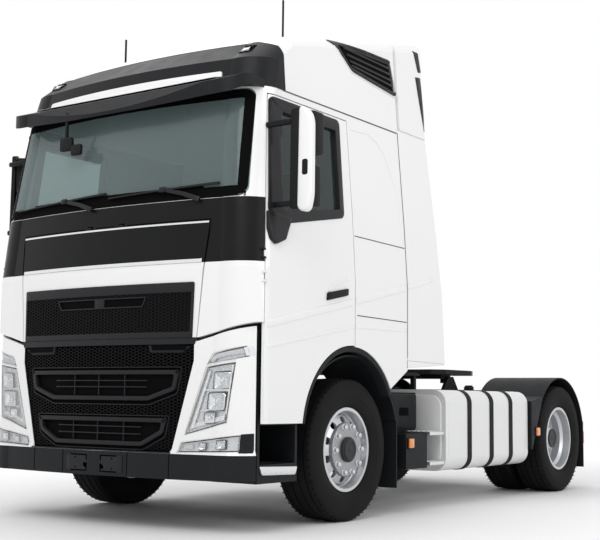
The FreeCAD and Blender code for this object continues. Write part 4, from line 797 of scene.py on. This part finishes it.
screenLook = {
    "frit": dict(outline=evenOutline(1.1255, 2.178, 1.0905, 2.906), low=0.0012, high=0.0028, cell=0.03,
                 rim=0.060, corner=0.06),
    "fritFoot": dict(outline=evenOutline(0.85, 2.178, 0.80, 2.253), low=0.0012, high=0.0026, cell=0.03),
    "wipers": [(-0.02, -0.98, -0.46), (0.93, 0.02, 0.47)],  # start, tip and elbow
    "bladeHigh": 2.262, "bladeLow": 2.224,
    "blade": dict(width=0.016, low=0.010, high=0.028, cell=0.06, edge=0.003, taper=0.6),
    "lip": dict(width=0.007, low=0.0008, high=0.012, cell=0.06),
    "armLine": [(0, 2.252), (0.20, 2.205), (0.33, 2.158)],
    "arm": dict(width=0.024, low=0.014, high=0.032, cell=0.06, edge=0.004, taper=1.5),
    "clip": [(0.005, 2.225, 0.018), (0.055, 2.262, 0.040)],
    "seam": dict(points=[(-0.872, 2.022), (0.872, 2.022)], width=0.008, low=0.0003, high=0.0015),
    "foot": dict(points=[(-1.12, 2.166), (1.12, 2.166)], width=0.062, low=0.0034, high=0.0054, cell=0.04),
}


def makeScreenLook():
    look = screenLook
    glass = frontOf("windscreen")
    cowl = frontOf("windscreen", "cowl_panel", "lid_dark_panel")
    frit = Piece("windscreenFrit", "cab", "rubber", "hollow")
    frit.add(slab(**look["frit"]), glass).add(slab(**look["fritFoot"]), glass).done()
    wipers = Piece("wipers", "cab", "rubber", "satin")
    for start, tip, elbow in look["wipers"]:
        line = [(start, look["bladeHigh"]), (tip, look["bladeLow"])]
        wipers.add(ribbon(line, **look["blade"]), glass)
        wipers.add(ribbon(line, **look["lip"]), glass)
        wipers.add(ribbon([(elbow + u, v) for u, v in look["armLine"]], **look["arm"]), cowl)
        low, high = ((elbow + u, v, h) for u, v, h in look["clip"])
        wipers.add(block(low, high, 0.005), glass)
    wipers.done()
    seam = Piece("cowlSeams", "front_lid", "rubber", "hollow")
    seam.add(ribbon(**look["seam"]), frontOf("lid_dark_panel", "cowl_panel")).done()
    foot = Piece("screenFoot", "cab", "rubber", "hollow")
    foot.add(ribbon(**look["foot"]), frontOf("cab_shell", "windscreen")).done()


roofLook = {
    "strip": dict(outline=evenOutline(0.835, 2.982, 0.820, 3.060), low=0.001, high=0.012, corner=0.012,
                  edge=0.003, cell=0.04),
    "seat": dict(outline=[(0.872, 3.203), (0.968, 3.203), (0.966, 3.274), (0.872, 3.270)], low=0.0004,
                 high=0.004, corner=0.008, edge=0.001, cell=0.03, rim=0.010),
    "light": dict(outline=[(0.893, 3.224), (0.947, 3.224), (0.946, 3.252), (0.893, 3.252)], low=0.0004,
                  high=0.003, corner=0.006, edge=0.001),
}


def makeRoofLook():
    look = roofLook
    strip = Piece("visorStrip", "cab", "white_paint", "white")
    strip.add(slab(**look["strip"]), frontOf("roof_front_panel", "sun_visor")).done()
    lamps = frontOf("roof_front_panel", "marker_lamps")
    seat = Piece("markerLampSeats", "cab", "dark_plastic", "hollow")
    seat.add(slab(**look["seat"]), lamps, twin=True).done()
    light = Piece("markerLampLights", "cab", "lamp_lens", "lampWhite")
    light.add(slab(**look["light"]), lamps, twin=True).done()


# the doors, cab sides and roof

doorLook = {
    "window": [(-0.915, 2.118), (-0.830, 2.092), (-0.206, 2.194), (-0.200, 2.788), (-0.868, 2.788)],
    "windowShort": 0.008,
    "surround": dict(outer=[(-1.074, 2.062), (-0.850, 2.018), (-0.162, 2.145), (-0.150, 2.866), (-0.985, 2.868)],
                     low=-0.048, high=0.005, corner=0.04, innerCorner=0.055, edge=0.0015, cell=0.05),
    # the door's sheet on both sides of the window
    "sheetFront": -0.975, "sheetRear": -0.115, "sheetLean": 0.13, "sheetLow": 2.2,
    "bracket": dict(outline=[(-1.086, 2.075), (-1.090, 1.955), (-1.070, 1.885), (-1.020, 1.858), (-0.915, 1.900),
                             (-0.835, 2.055)], low=0.0007, high=0.026, corner=0.012, edge=0.007, cell=0.04),
    "grip": dict(outline=[(-0.420, 1.536), (-0.155, 1.590), (-0.152, 1.640), (-0.412, 1.592)], low=0.0004,
                 high=0.016, corner=0.010, edge=0.006, cell=0.05),
    "scoop": dict(points=[(-0.385, 1.600), (-0.350, 1.640), (-0.290, 1.665), (-0.140, 1.712)], width=0.020,
                  low=0.0002, high=0.004, cell=0.04, edge=0.0035),
}
sideLook = {
    "crease": dict(width=0.050, low=0.0002, high=0.006, edge=0.0055),
    "creaseDoor": [(-1.100, 1.335), (-0.600, 1.440), (-0.090, 1.547)],
    "creaseCab": [(-0.040, 1.560), (0.687, 1.717)],
    "creaseRear": dict(points=[(0.712, 1.722), (1.109, 1.810)], width=0.040, low=0.0002, high=0.005,
                       edge=0.0045, taper=0.4),
    "fold": dict(width=0.026, low=0.0002, high=0.0035, edge=0.003),
    "foldDoor": [(-1.100, 1.192), (-0.600, 1.282), (-0.060, 1.374)],
    "foldCab": [(-0.030, 1.378), (0.688, 1.388)],
    "panel": dict(points=[(-0.001, 2.835), (0.240, 2.848), (0.380, 2.800), (0.478, 2.715), (0.611, 2.474),
                          (0.673, 2.091), (0.673, 2.060)], width=0.020, low=0.0002, high=0.0035, edge=0.003),
    "skirt": dict(outline=[(0.712, 1.102), (1.296, 1.140), (1.302, 1.1485), (0.712, 1.1585)], low=-0.026,
                  high=-0.0005, edge=0.003, cell=0.05),
    "skirtLevel": 1.2,
    "seams": [[(-0.030, 2.033), (0.690, 2.022)], [(-0.020, 1.458), (0.690, 1.450)]],
    "seam": dict(width=0.007, low=0.0002, high=0.0012),
    "drip": dict(points=[(-0.940, 2.9365), (0.690, 2.9365)], width=0.010, low=0.0004, high=0.0016),
    "rearSeam": dict(points=[(0.706, 1.100), (0.704, 2.000), (0.700, 2.940)], width=0.007, low=0.0003,
                     high=0.0014),
    "arch": arcThrough((-0.691, 0.700), (-0.090, 1.2400), (0.486, 0.905), 0.022, 24),
    "flare": dict(width=0.044, low=1.150, high=1.236, cell=0, edge=0.006),
    "liner": dict(width=0.012, low=0.985, high=1.154),
}


def makeSides():
    look = doorLook
    lines = sideLook

    def besideWindow(v):
        lean = max(v - look["sheetLow"], 0) * look["sheetLean"]
        return look["sheetFront"] + lean, look["sheetRear"]

    for hand, name in hands:
        body = "door_" + name
        door = flankOf(hand, body, "door_glass_" + name)
        cab = flankOf(hand, "cab_shell", "cab_roof")
        dark = Piece("windowSurround_" + name, body, "dark_plastic", "satin")
        dark.add(collar(inner=grownOutline(look["window"], -look["windowShort"]), **look["surround"]),
                 flankOf(hand, body, ends=besideWindow))
        dark.add(slab(**look["bracket"]), door).done()
        Piece("doorGrip_" + name, body, "dark_plastic", "dark").add(slab(**look["grip"]), door).done()
        crease = Piece("doorCreases_" + name, body, "white_paint", "white")
        crease.add(ribbon(**look["scoop"]), door)
        crease.add(ribbon(lines["creaseDoor"], **lines["crease"]), door)
        crease.add(ribbon(lines["foldDoor"], **lines["fold"]), door).done(60)
        shell = Piece("cabCreases_" + name, "cab", "white_paint", "white")
        shell.add(ribbon(lines["creaseCab"], **lines["crease"]), cab)
        shell.add(ribbon(**lines["creaseRear"]), flankOf(hand, "air_deflectors"))
        shell.add(ribbon(lines["foldCab"], **lines["fold"]), cab)
        shell.add(ribbon(**lines["panel"]), cab)
        shell.add(slab(**lines["skirt"]), flankOf(hand, "air_deflectors", level=lines["skirtLevel"])).done(60)
        seams = Piece("cabSeams_" + name, "cab", "rubber", "seam")
        for line in lines["seams"]:
            seams.add(ribbon(line, **lines["seam"]), cab)
        seams.add(ribbon(**lines["drip"]), cab)
        both = flankOf(hand, "cab_shell", "cab_roof", "air_deflectors")
        seams.add(ribbon(**lines["rearSeam"]), both).done()
        flare = Piece("archFlare_" + name, "cab", "dark_plastic", "guard")
        for part in ("flare", "liner"):
            flare.add(ribbon(lines["arch"], **lines[part]), flankOf(hand))
        flare.done(50)


intakeLook = {
    "recess": [(0.095, 3.322), (0.692, 3.266), (0.616, 3.484), (-0.170, 3.452)],
    "hollow": dict(low=0.0026, high=0.004, corner=0.035, cell=0.013), "hollowWide": 0.018,
    "rim": dict(low=0.0020, high=0.011, corner=0.04, edge=0.002, cell=0.013, rim=0.034), "rimWide": 0.030,
    "slats": [[(-0.02, 3.452), (0.625, 3.452)], [(0.02, 3.410), (0.640, 3.406)],
              [(0.06, 3.370), (0.655, 3.360)], [(0.09, 3.340), (0.670, 3.318)]],
    "slat": dict(width=0.016, low=0.0015, high=0.011, cell=0.06, edge=0.002),
    "silver": dict(points=[(-0.150, 3.440), (0.070, 3.284), (0.715, 3.224)], width=0.011, low=0.0006,
                   high=0.006, edge=0.002),
    "trims": [[(1.100, 3.530), (1.150, 3.540), (1.110, 3.700), (1.035, 3.700)],  # on the deflector
              [(1.150, 3.040), (1.185, 3.050), (1.130, 3.490), (1.050, 3.480)]],
    "trim": dict(low=0.0004, high=0.004, corner=0.008, edge=0.001, cell=0.05),
}


def makeRoofSides():
    look = intakeLook
    for hand, name in hands:
        roof = flankOf(hand, "cab_roof")
        rear = flankOf(hand, "air_deflectors", "cab_roof")
        # a thin near-black slab lies under the slats: painted shade for the inside of the intake
        hollow = Piece("roofIntakePaintedShade_" + name, "cab", "dark_plastic", "hollow")
        hollow.add(slab(grownOutline(look["recess"], look["hollowWide"]), **look["hollow"]), roof).done()
        slats = Piece("roofIntakeSlats_" + name, "cab", "dark_plastic", "satin")
        for line in look["slats"]:
            slats.add(ribbon(line, **look["slat"]), roof)
        slats.add(slab(grownOutline(look["recess"], look["rimWide"]), **look["rim"]), roof)
        for trim in look["trims"]:
            slats.add(slab(trim, **look["trim"]), rear)
        slats.done()
        line = Piece("roofIntakeLine_" + name, "cab", "tank_aluminium", "bright")
        line.add(ribbon(**look["silver"]), roof).done()


mirrorLook = {  # blocks are two corners, bevel and bevel steps
    "cover": dict(outline=[(1.420, 2.066), (1.505, 2.050), (1.530, 2.150), (1.530, 2.650), (1.500, 2.722),
                           (1.428, 2.756)], low=0.992, high=1.040, corner=0.035, edge=0.016),
    "cases": [((1.354, -0.9915, 2.442), (1.519, -0.862, 2.724), 0.022, 3),
              ((1.354, -0.9915, 2.092), (1.511, -0.882, 2.372), 0.022, 3)],
    "lamp": dict(outline=boxOutline(1.462, 2.290, 1.506, 2.392), low=1.0401, high=1.0412, corner=0.014),
    "inner": dict(outline=[(1.352, 2.084), (1.426, 2.070), (1.426, 2.748), (1.356, 2.738)], low=0.994,
                  high=1.026, corner=0.02, edge=0.008),
    "link": ((1.420, -0.990, 2.368), (1.470, -0.940, 2.446), 0.006),
    "arms": [((1.152, -1.028, 2.642), (1.356, -0.9925, 2.678), 0.010, 3),
             ((1.182, -1.019, 2.102), (1.356, -0.9925, 2.138), 0.009, 3)],
    "faces": [((1.368, -0.863, 2.458), (1.505, -0.857, 2.708), 0.003),
              ((1.368, -0.883, 2.110), (1.497, -0.877, 2.354), 0.003)],
    "front": [((-0.450, -1.352, 2.600), (-0.330, -1.312, 2.700), 0.016, 3),
              ((-0.340, -1.350, 2.560), (-0.240, -1.312, 2.640), 0.016, 3),
              ((-0.410, -1.338, 2.690), (-0.385, -1.316, 2.885), 0.008)],
    "fold": 62.0, "pivot": (1.330, -1.000, 0),
}


def makeMirrors():
    look = mirrorLook
    pivot = Matrix.Translation(look["pivot"])
    upright = Matrix(((1, 0, 0, 0), (0, 0, -1, 0), (0, 1, 0, 0), (0, 0, 0, 1)))  # stands a drawing up
    for hand, name in hands:
        fold = 0.0 if hand == 1 else look["fold"]  # the right one shows folded in the photo
        turn = pivot @ Matrix.Rotation(math.radians(fold), 4, "Z") @ pivot.inverted()
        straight = Matrix.Scale(hand, 4, (1, 0, 0))
        pose = straight @ turn
        cover = Piece("mirrorCover_" + name, "door_" + name, "white_paint", "white", "mirror_" + name)
        cover.add(moved(slab(**look["cover"]), pose @ upright)).done(50)
        case = Piece("mirrorHousings_" + name, "door_" + name, "dark_plastic", "dark", "mirror_" + name)
        for part in look["cases"]:
            case.add(moved(block(*part), pose))
        for part in ("lamp", "inner"):
            case.add(moved(slab(**look[part]), pose @ upright))
        case.add(moved(block(*look["link"]), pose))
        for part in look["arms"]:
            case.add(moved(block(*part), straight))
        case.done(40)
        glass = Piece("mirrorGlass_" + name, "door_" + name, "glass", "mirror")
        for part in look["faces"]:
            glass.add(moved(block(*part), pose))
        glass.done()
    front = Piece("frontMirror", "cab", "dark_plastic", "dark")
    for part in look["front"]:
        front.add(block(*part))
    front.done(40)


# tyres, nuts and hubs

tyreLook = {
    "steps": 120,
    "wall": [(0.113, 0.3000), (0.122, 0.3035), (0.130, 0.3120), (0.136, 0.3200), (0.142, 0.3300), (0.1475, 0.3500),
             (0.1520, 0.3750), (0.1535, 0.3755), (0.1545, 0.3950), (0.1555, 0.4150), (0.1548, 0.4380),
             (0.1500, 0.4600), (0.1515, 0.4615), (0.1480, 0.4760), (0.1420, 0.4880), (0.1340, 0.4965),
             (0.1240, 0.5010)],
    "grooves": [0.094, 0.033], "grooveHalf": 0.0050, "grooveFoot": 0.0032, "deep": 0.014,
    "crown": 0.505, "crownDrop": 0.0044, "crownHalf": 0.14, "rearWorn": 0.0005,
    "sets": [("tyre_front_", "wheel_front_", 0.0, [1.025], 1.0),  # node, body, y, middles and width
             ("tyres_rear_", "wheel_rear_", rearAxle, [1.095, 0.745], 0.963)],
    "sipes": 60,
    "edgeSipe": (0.128, -0.016, 0.014, 0.0022, 0.4955, 0.5012),  # off the middle, ends, half width, foot, top
    "treadSipe": (0.063, -0.026, 0.026, 0.003, 0.497, 0.5046),
}


def tyreProfile(worn):
    look = tyreLook
    half = list(look["wall"])
    for groove in look["grooves"]:
        top = look["crown"] - look["crownDrop"] * (groove / look["crownHalf"]) ** 2 - worn
        half += [(groove + look["grooveHalf"], top), (groove + look["grooveFoot"], top - look["deep"]),
                 (groove - look["grooveFoot"], top - look["deep"]), (groove - look["grooveHalf"], top)]
    return half + [(-x, r) for x, r in reversed(half)]


def makeTyres():
    look = tyreLook
    for node, body, y, middles, wide in look["sets"]:
        twin = len(middles) > 1
        profile = tyreProfile(look["rearWorn"] if twin else 0)
        cuts = [look["edgeSipe"], look["treadSipe"]] if twin else [look["edgeSipe"]]
        for hand, name in hands:
            tyre = Piece(node + name + "_treaded", body + name, "tyre", "tyre", node + name)
            sipes = Piece(node + name + "_sipes", body + name, "tyre", "groove")
            for x in middles:
                outline = [(radius, hand * (x + along * wide)) for along, radius in profile]
                tyre.add(turnedPart(outline, look["steps"], (0, y, axle.z), (1, 0, 0)))
                for index in range(look["sipes"]):
                    angle = 2 * math.pi * index / look["sipes"]
                    turn = Matrix.Translation((0, y, axle.z)) @ Matrix.Rotation(angle, 4, "X")
                    for side in (-1, 1):
                        for off, first, last, half, foot, top in cuts:
                            spot = hand * x + side * off
                            cut = block((spot + first, -half, foot), (spot + last, half, top))
                            sipes.add(moved(cut, turn))
            tyre.done(30)
            sipes.done()


nutLook = {
    "count": 10, "circle": 0.1675, "across": 0.0185, "tall": 0.022, "seat": 0.016,
    "washer": [(0.001, 0.0056), (0.022, 0.0056), (0.024, 0.003), (0.024, 0.0004)],
    "stud": [(0.0005, 0.031), (0.008, 0.031), (0.0095, 0.029), (0.0095, 0.024)],
    "ring": [(0.0895, 1.156), (0.186, 1.156), (0.191, 1.151), (0.193, 1.1285), (0.0895, 1.1285)],
    "cup": [(0.0892, 1.152), (0.0892, 1.172), (0.084, 1.1785), (0.0005, 1.1785)],
    # the hub cap's rim, measured inwards from its edge
    "capRim": [(0, 0.0004), (0, 0.006), (0.006, 0.010), (0.020, 0.010), (0.026, 0.005)],
    "capMiddle": [(0.020, 0.005), (0.016, 0.008), (0.0005, 0.008)],
    "valve": [(0.0045, 0.0), (0.0045, 0.03), (0.003, 0.034), (0.0003, 0.034)], "valveAt": (0.236, 0.02),
    "sets": [("front", "rim_front_", "wheel_front_", 0.0, 0.078),  # name, node, body, y and cap radius
             ("rear", "rims_rear_", "wheel_rear_", rearAxle, 0.092)],
}


def wheelNut(lift):
    look = nutLook
    bm = bmesh.new()
    bmesh.ops.create_cone(bm, cap_ends=True, segments=6, radius1=look["across"], radius2=look["across"],
                          depth=look["tall"])
    bmesh.ops.translate(bm, verts=bm.verts[:], vec=(0, 0, look["seat"]))
    top = [line for line in bm.edges if min(vert.co.z for vert in line.verts) > 0.02]
    bmesh.ops.bevel(bm, geom=top, offset=0.003, segments=1, **atEdges)
    return shifted(bm, 0, 0, lift)


def makeNuts():
    look = nutLook
    for name, node, body, y, reach in look["sets"]:
        front = name == "front"
        lift = look["ring"][0][1] if front else 0.0
        for hand, side in hands:
            end = name + "_" + side
            rim = flankOf(hand, node + side)
            seat = flankOf(hand) if front else rim
            nuts = Piece("wheelNuts_" + end, body + side, "wheel_steel", "bolt")
            for index in range(look["count"]):
                angle = 2 * math.pi * (index + 0.5) / look["count"]
                spot = (y + math.sin(angle) * look["circle"], axle.z + math.cos(angle) * look["circle"])
                nuts.add(wheelNut(lift), seat, at=spot)
                for profile, steps in ((look["washer"], 20), (look["stud"], 14)):
                    nuts.add(turnedPart([(r, h + lift) for r, h in profile], steps), seat, at=spot)
            nuts.done(30)
            hub = Piece("hubCap_" + end, body + side, "wheel_steel", "hubGrey")
            if front:
                ring = Piece("nutRing_" + side, body + side, "wheel_steel", "ringGrey")
                profile = [(r, hand * x) for r, x in look["ring"]]
                ring.add(turnedPart(profile, 64, (0, y, axle.z), (1, 0, 0), True)).done(30)
                hub.add(turnedPart([(r, hand * x) for r, x in look["cup"]], 48, (0, y, axle.z), (1, 0, 0)))
            cap = [(reach - r, h) for r, h in look["capRim"]] + look["capMiddle"]
            hub.add(turnedPart(cap, 40), rim, at=(y, axle.z)).done(30)
            valve = Piece("valve_" + end, body + side, "rubber", "dark")
            spot = (y + look["valveAt"][0], axle.z + look["valveAt"][1])
            valve.add(turnedPart(look["valve"], 12), rim, at=spot).done()


# lower front, steps, tank, lamps and coupling

bumperLook = {
    "seams": [-0.610, -0.300, 0.300, 0.640], "seamHalf": 0.003, "seamLow": 0.345, "seamTop": 0.498,
    "seam": dict(low=0.0003, high=0.0014, cell=0.03),
    "plate": boxOutline(-0.262, 0.362, 0.262, 0.474),
    "plateBack": dict(low=0.0004, high=0.005, corner=0.006, edge=0.0015, cell=0.05),
    "plateRim": dict(low=0.004, high=0.007, corner=0.006, edge=0.001, cell=0.05, rim=0.008),
    "screw": [(0.0005, 0.004), (0.005, 0.0035), (0.007, 0.0)],
    "screwX": (-0.17, 0.17), "screwZ": (0.385, 0.452),
    "ledge": dict(outline=[(0.452, 1.153), (0.705, 1.150), (0.775, 1.193), (0.440, 1.205)], low=-0.025,
                  high=-0.001, corner=0.008, edge=0.003, cell=0.04),
    "hollow": dict(outline=[(0.470, 1.168), (0.735, 1.168), (0.745, 1.200), (0.460, 1.204)], low=-0.0008,
                   high=0.0004, corner=0.006, cell=0.05),
}


def makeBumperLook():
    look = bumperLook
    face = frontOf("bumper")
    above = frontOf("headlamp_surround", level=frontLevel)
    dark = Piece("bumperSeams", "chassis", "rubber", "hollow")
    for x in look["seams"]:
        line = boxOutline(x - look["seamHalf"], look["seamLow"], x + look["seamHalf"], look["seamTop"])
        dark.add(slab(line, **look["seam"]), face)
    dark.done()
    box = Piece("plateHolder", "chassis", "dark_plastic", "satin")
    box.add(slab(look["plate"], **look["plateBack"]), face)
    box.add(slab(look["plate"], **look["plateRim"]), face)
    for x in look["screwX"]:
        for z in look["screwZ"]:
            box.add(shifted(turnedPart(look["screw"], 12), x, z, 0.005), face)
    box.done()
    ledge = Piece("frontStepLedges", "chassis", "dark_plastic", "guard")
    ledge.add(slab(**look["ledge"]), above, twin=True).done()
    # a flush near-black slab over the mouth of each step pocket: painted shade for the pocket
    hollow = Piece("frontStepPaintedShade", "chassis", "dark_plastic", "hollow")
    hollow.add(slab(**look["hollow"]), above, twin=True).done()


def addRibs(piece, count, pitch, low, high, twin=False):
    # a row of bars side by side
    for row in range(count):
        shift = row * pitch
        piece.add(block((low[0] + shift, *low[1:]), (high[0] + shift, *high[1:]), 0.002), twin=twin)


stepLook = {
    "tread": dict(outline=[(-1.072, 0.374), (-0.705, 0.364), (-0.682, 0.418), (-1.098, 0.432)], low=0.0006,
                  high=0.016, corner=0.014, edge=0.006, cell=0.05),
    "marks": 6, "markStart": -1.04, "markPitch": 0.058, "markLong": 0.040, "markLow": 0.382, "markTop": 0.392,
    "mark": dict(low=0.0155, high=0.0185, corner=0.003),
    "boards": [(0.440, 0.98), (0.740, 1.02), (1.010, 1.06)],  # height and first bar
    "bars": 4, "barPitch": 0.034, "barWide": 0.018, "barFront": -1.060, "barRear": -0.720,
}


def makeStepLook():
    look = stepLook
    silver = Piece("stepEdges", "chassis", "tank_aluminium", "alloy")
    plain = Piece("stepBoards", "chassis", "dark_plastic", "dark")
    for hand, name in hands:
        face = flankOf(hand, "entry_steps")
        silver.add(slab(**look["tread"]), face)
        for index in range(look["marks"]):
            u = look["markStart"] + index * look["markPitch"]
            mark = boxOutline(u, look["markLow"], u + look["markLong"], look["markTop"])
            silver.add(slab(mark, **look["mark"]), face)
    for z, x in look["boards"]:
        addRibs(plain, look["bars"], look["barPitch"], (x, look["barFront"], z + 0.0005),
                (x + look["barWide"], look["barRear"], z + 0.006), True)
    silver.done()
    plain.done()


tankLook = {
    "outline": boxOutline(0.5585, 0.2885, 1.2165, 0.9465), "corner": 0.118, "seams": [1.43, 2.915],
    "seamHalf": 0.008, "seamThick": 0.003,
    "end": dict(outline=boxOutline(0.600, 0.330, 1.175, 0.905), low=-1.3805, high=-1.3690, corner=0.095,
                edge=0.008),
    "cap": [(0.052, 0.0), (0.052, 0.008), (0.044, 0.012), (0.044, 0.034), (0.038, 0.040), (0.0005, 0.040)],
    "capAt": (0.90, 2.42, 0.9455), "grip": ((-0.036, -0.006, 0.038), (0.036, 0.006, 0.050), 0.003),
}


def makeTankLook():
    look = tankLook
    ends = Piece("tankSeams", "chassis", "tank_aluminium", "tank")
    for y in look["seams"]:
        ends.add(slab(look["outline"], -y - look["seamHalf"], -y + look["seamHalf"], corner=look["corner"],
                      rim=look["seamThick"]), frontOf())
    ends.add(slab(**look["end"]), frontOf()).done(40)
    cap = Piece("fuelCap", "chassis", "dark_plastic", "dark")
    cap.add(shifted(turnedPart(look["cap"], 32), *look["capAt"]))
    cap.add(shifted(block(*look["grip"]), *look["capAt"])).done()


sideLampLook = {
    "half": 0.036, "frameWide": 0.006, "corner": 0.008,
    "frameHigh": 0.008, "lensLow": 0.007, "lensHigh": 0.018,
    "spots": [(1, 0.862, 0.528, 0.0005, ["battery_box"]), (1, 3.130, 0.580, 1.2435, []),
              (-1, 3.130, 0.580, 1.2435, []), (-1, 0.960, 0.620, 0.0005, ["exhaust_and_air_units"])],
}


def makeSideLamps():
    look = sideLampLook
    amber = Piece("sideLamps", "chassis", "tail_lens", "orange")
    holder = Piece("sideLampFrames", "chassis", "dark_plastic", "dark")
    half = look["half"]
    for hand, y, z, lift, names in look["spots"]:
        face = flankOf(hand, *names)
        square = boxOutline(y - half, z - half, y + half, z + half)
        holder.add(slab(grownOutline(square, look["frameWide"]), lift, lift + look["frameHigh"],
                        corner=look["corner"], edge=0.002), face)
        amber.add(slab(square, lift + look["lensLow"], lift + look["lensHigh"], corner=look["corner"],
                  edge=0.004), face)
    amber.done()
    holder.done()


unitLook = {
    "lid": dict(outline=boxOutline(0.868, 0.628, 1.282, 0.905), low=0.0006, high=0.020, corner=0.02,
                edge=0.006, cell=0.08),
    "grip": dict(outline=boxOutline(1.000, 0.735, 1.150, 0.800), low=0.0203, high=0.0215, corner=0.012),
    "treads": [dict(count=5, pitch=0.044, low=(0.985, 1.140, 0.6104), high=(1.001, 1.360, 0.616)),
               dict(count=5, pitch=0.044, low=(0.985, 1.140, 0.3754), high=(1.001, 1.360, 0.381))],
    "deck": dict(count=17, pitch=0.05, low=(-0.408, 1.490, 1.1004), high=(-0.392, 2.370, 1.106)),
}


def makeUnitLook():
    look = unitLook
    face = flankOf(1, "battery_box")
    Piece("batteryLid", "chassis", "dark_plastic", "guard").add(slab(**look["lid"]), face).done()
    Piece("batteryLidGrip", "chassis", "dark_plastic", "hollow").add(slab(**look["grip"]), face).done()
    treads = Piece("sideTreadRibs", "chassis", "tank_aluminium", "alloy")
    for part in look["treads"]:
        addRibs(treads, **part)
    treads.done()
    deck = Piece("catwalkRibs", "chassis", "tank_aluminium", "frame")
    addRibs(deck, **look["deck"])
    deck.done()


makeLidLook()
makeGrilleLook()
makeLampLook()
makeScreenLook()
makeRoofLook()
print("front")
makeSides()
makeRoofSides()
makeMirrors()
print("sides")
makeTyres()
makeNuts()
print("wheels")
makeBumperLook()
makeStepLook()
makeTankLook()
makeSideLamps()
makeUnitLook()
print("chassis")


studio = {
    "floorHalf": 60.0, "shadeNear": 1.7, "shadeFar": 4.7, "worldStrength": 0.65,
    "lamps": [("key", 440, 7.0, (3.0, -9.5, 8.5)), ("side", 250, 8.0, (11.0, -1.5, 6.0)),
              ("top", 165, 9.0, (-3.0, 1.0, 10.5))],  # power, size and place
    "aim": (0, -0.8, 1.4),
}


def makeStudio():
    look = studio
    bm = bmesh.new()
    bmesh.ops.create_grid(bm, x_segments=1, y_segments=1, size=look["floorHalf"])
    mesh = bpy.data.meshes.new("floor")
    bm.to_mesh(mesh)
    bm.free()
    floor = bpy.data.objects.new("floor", mesh)
    bpy.context.scene.collection.objects.link(floor)
    floor.location.z = -0.0005
    shade = Shade("paleFloor", Base_Color=grey(0.93), Roughness=0.6, Specular_IOR_Level=0.2)
    stretch = shade.add("ShaderNodeMapping", {}, {"Vector": shade.place, "Scale": (1.0, 0.55, 1.0)})
    reach = shade.add("ShaderNodeVectorMath", {"operation": "LENGTH"}, {0: stretch}, 1)
    fade = shade.add("ShaderNodeMapRange", {"interpolation_type": "SMOOTHSTEP"},
                     {"Value": reach, "From Min": look["shadeNear"], "From Max": look["shadeFar"]})
    glow = shade.add("ShaderNodeEmission", {}, {"Color": grey(1), "Strength": 1.0})
    shade.show(fade, shade.plain, glow)
    mesh.materials.append(shade.made)
    world = Shade("studio", True, Color=grey(1), Strength=look["worldStrength"])
    bpy.context.scene.world = world.made
    seen = world.add("ShaderNodeBackground", {}, {"Color": grey(1), "Strength": 1.0})
    rays = [world.add("ShaderNodeLightPath", {}, {}, name)
            for name in ("Is Camera Ray", "Is Glossy Ray", "Is Transmission Ray")]
    shows = rays[0].maths("MAXIMUM", rays[0], rays[1])
    world.show(shows.maths("MAXIMUM", shows, rays[2]), world.plain, seen)
    for name, power, size, place in look["lamps"]:
        lamp = bpy.data.lights.new(name, "AREA")
        lamp.shape = "DISK"
        lamp.size = size
        lamp.energy = power
        holder = bpy.data.objects.new(name, lamp)
        bpy.context.scene.collection.objects.link(holder)
        holder.location = place
        holder.rotation_euler = (Vector(look["aim"]) - holder.location).to_track_quat("-Z", "Y").to_euler()


view = {
    "stand": (5.66, -7.044, 0.868),  # measured from the front axle
    "turn": 35.006, "rise": 6.289, "roll": 0.63, "lens": 69.56, "sensor": 36.0,
}


def makeCamera():
    turn, rise, roll = (math.radians(view[name]) for name in ("turn", "rise", "roll"))
    ahead = Vector((-math.sin(turn) * math.cos(rise), math.cos(turn) * math.cos(rise), math.sin(rise)))
    right = Vector((math.cos(turn), math.sin(turn), 0))
    up = right.cross(ahead)
    side = right * math.cos(roll) + up * math.sin(roll)
    top = up * math.cos(roll) - right * math.sin(roll)
    camera = bpy.data.cameras.new("photoView")
    camera.lens = view["lens"]
    camera.sensor_width = view["sensor"]
    camera.sensor_fit = "HORIZONTAL"
    holder = bpy.data.objects.new("photoView", camera)
    bpy.context.scene.collection.objects.link(holder)
    pose = Matrix((side, top, -ahead)).transposed().to_4x4()
    pose.translation = Vector(view["stand"]) + origin
    holder.matrix_world = pose
    bpy.context.scene.camera = holder


makeStudio()
makeCamera()
bpy.context.scene.view_settings.view_transform = "Standard"
print("studio and camera")
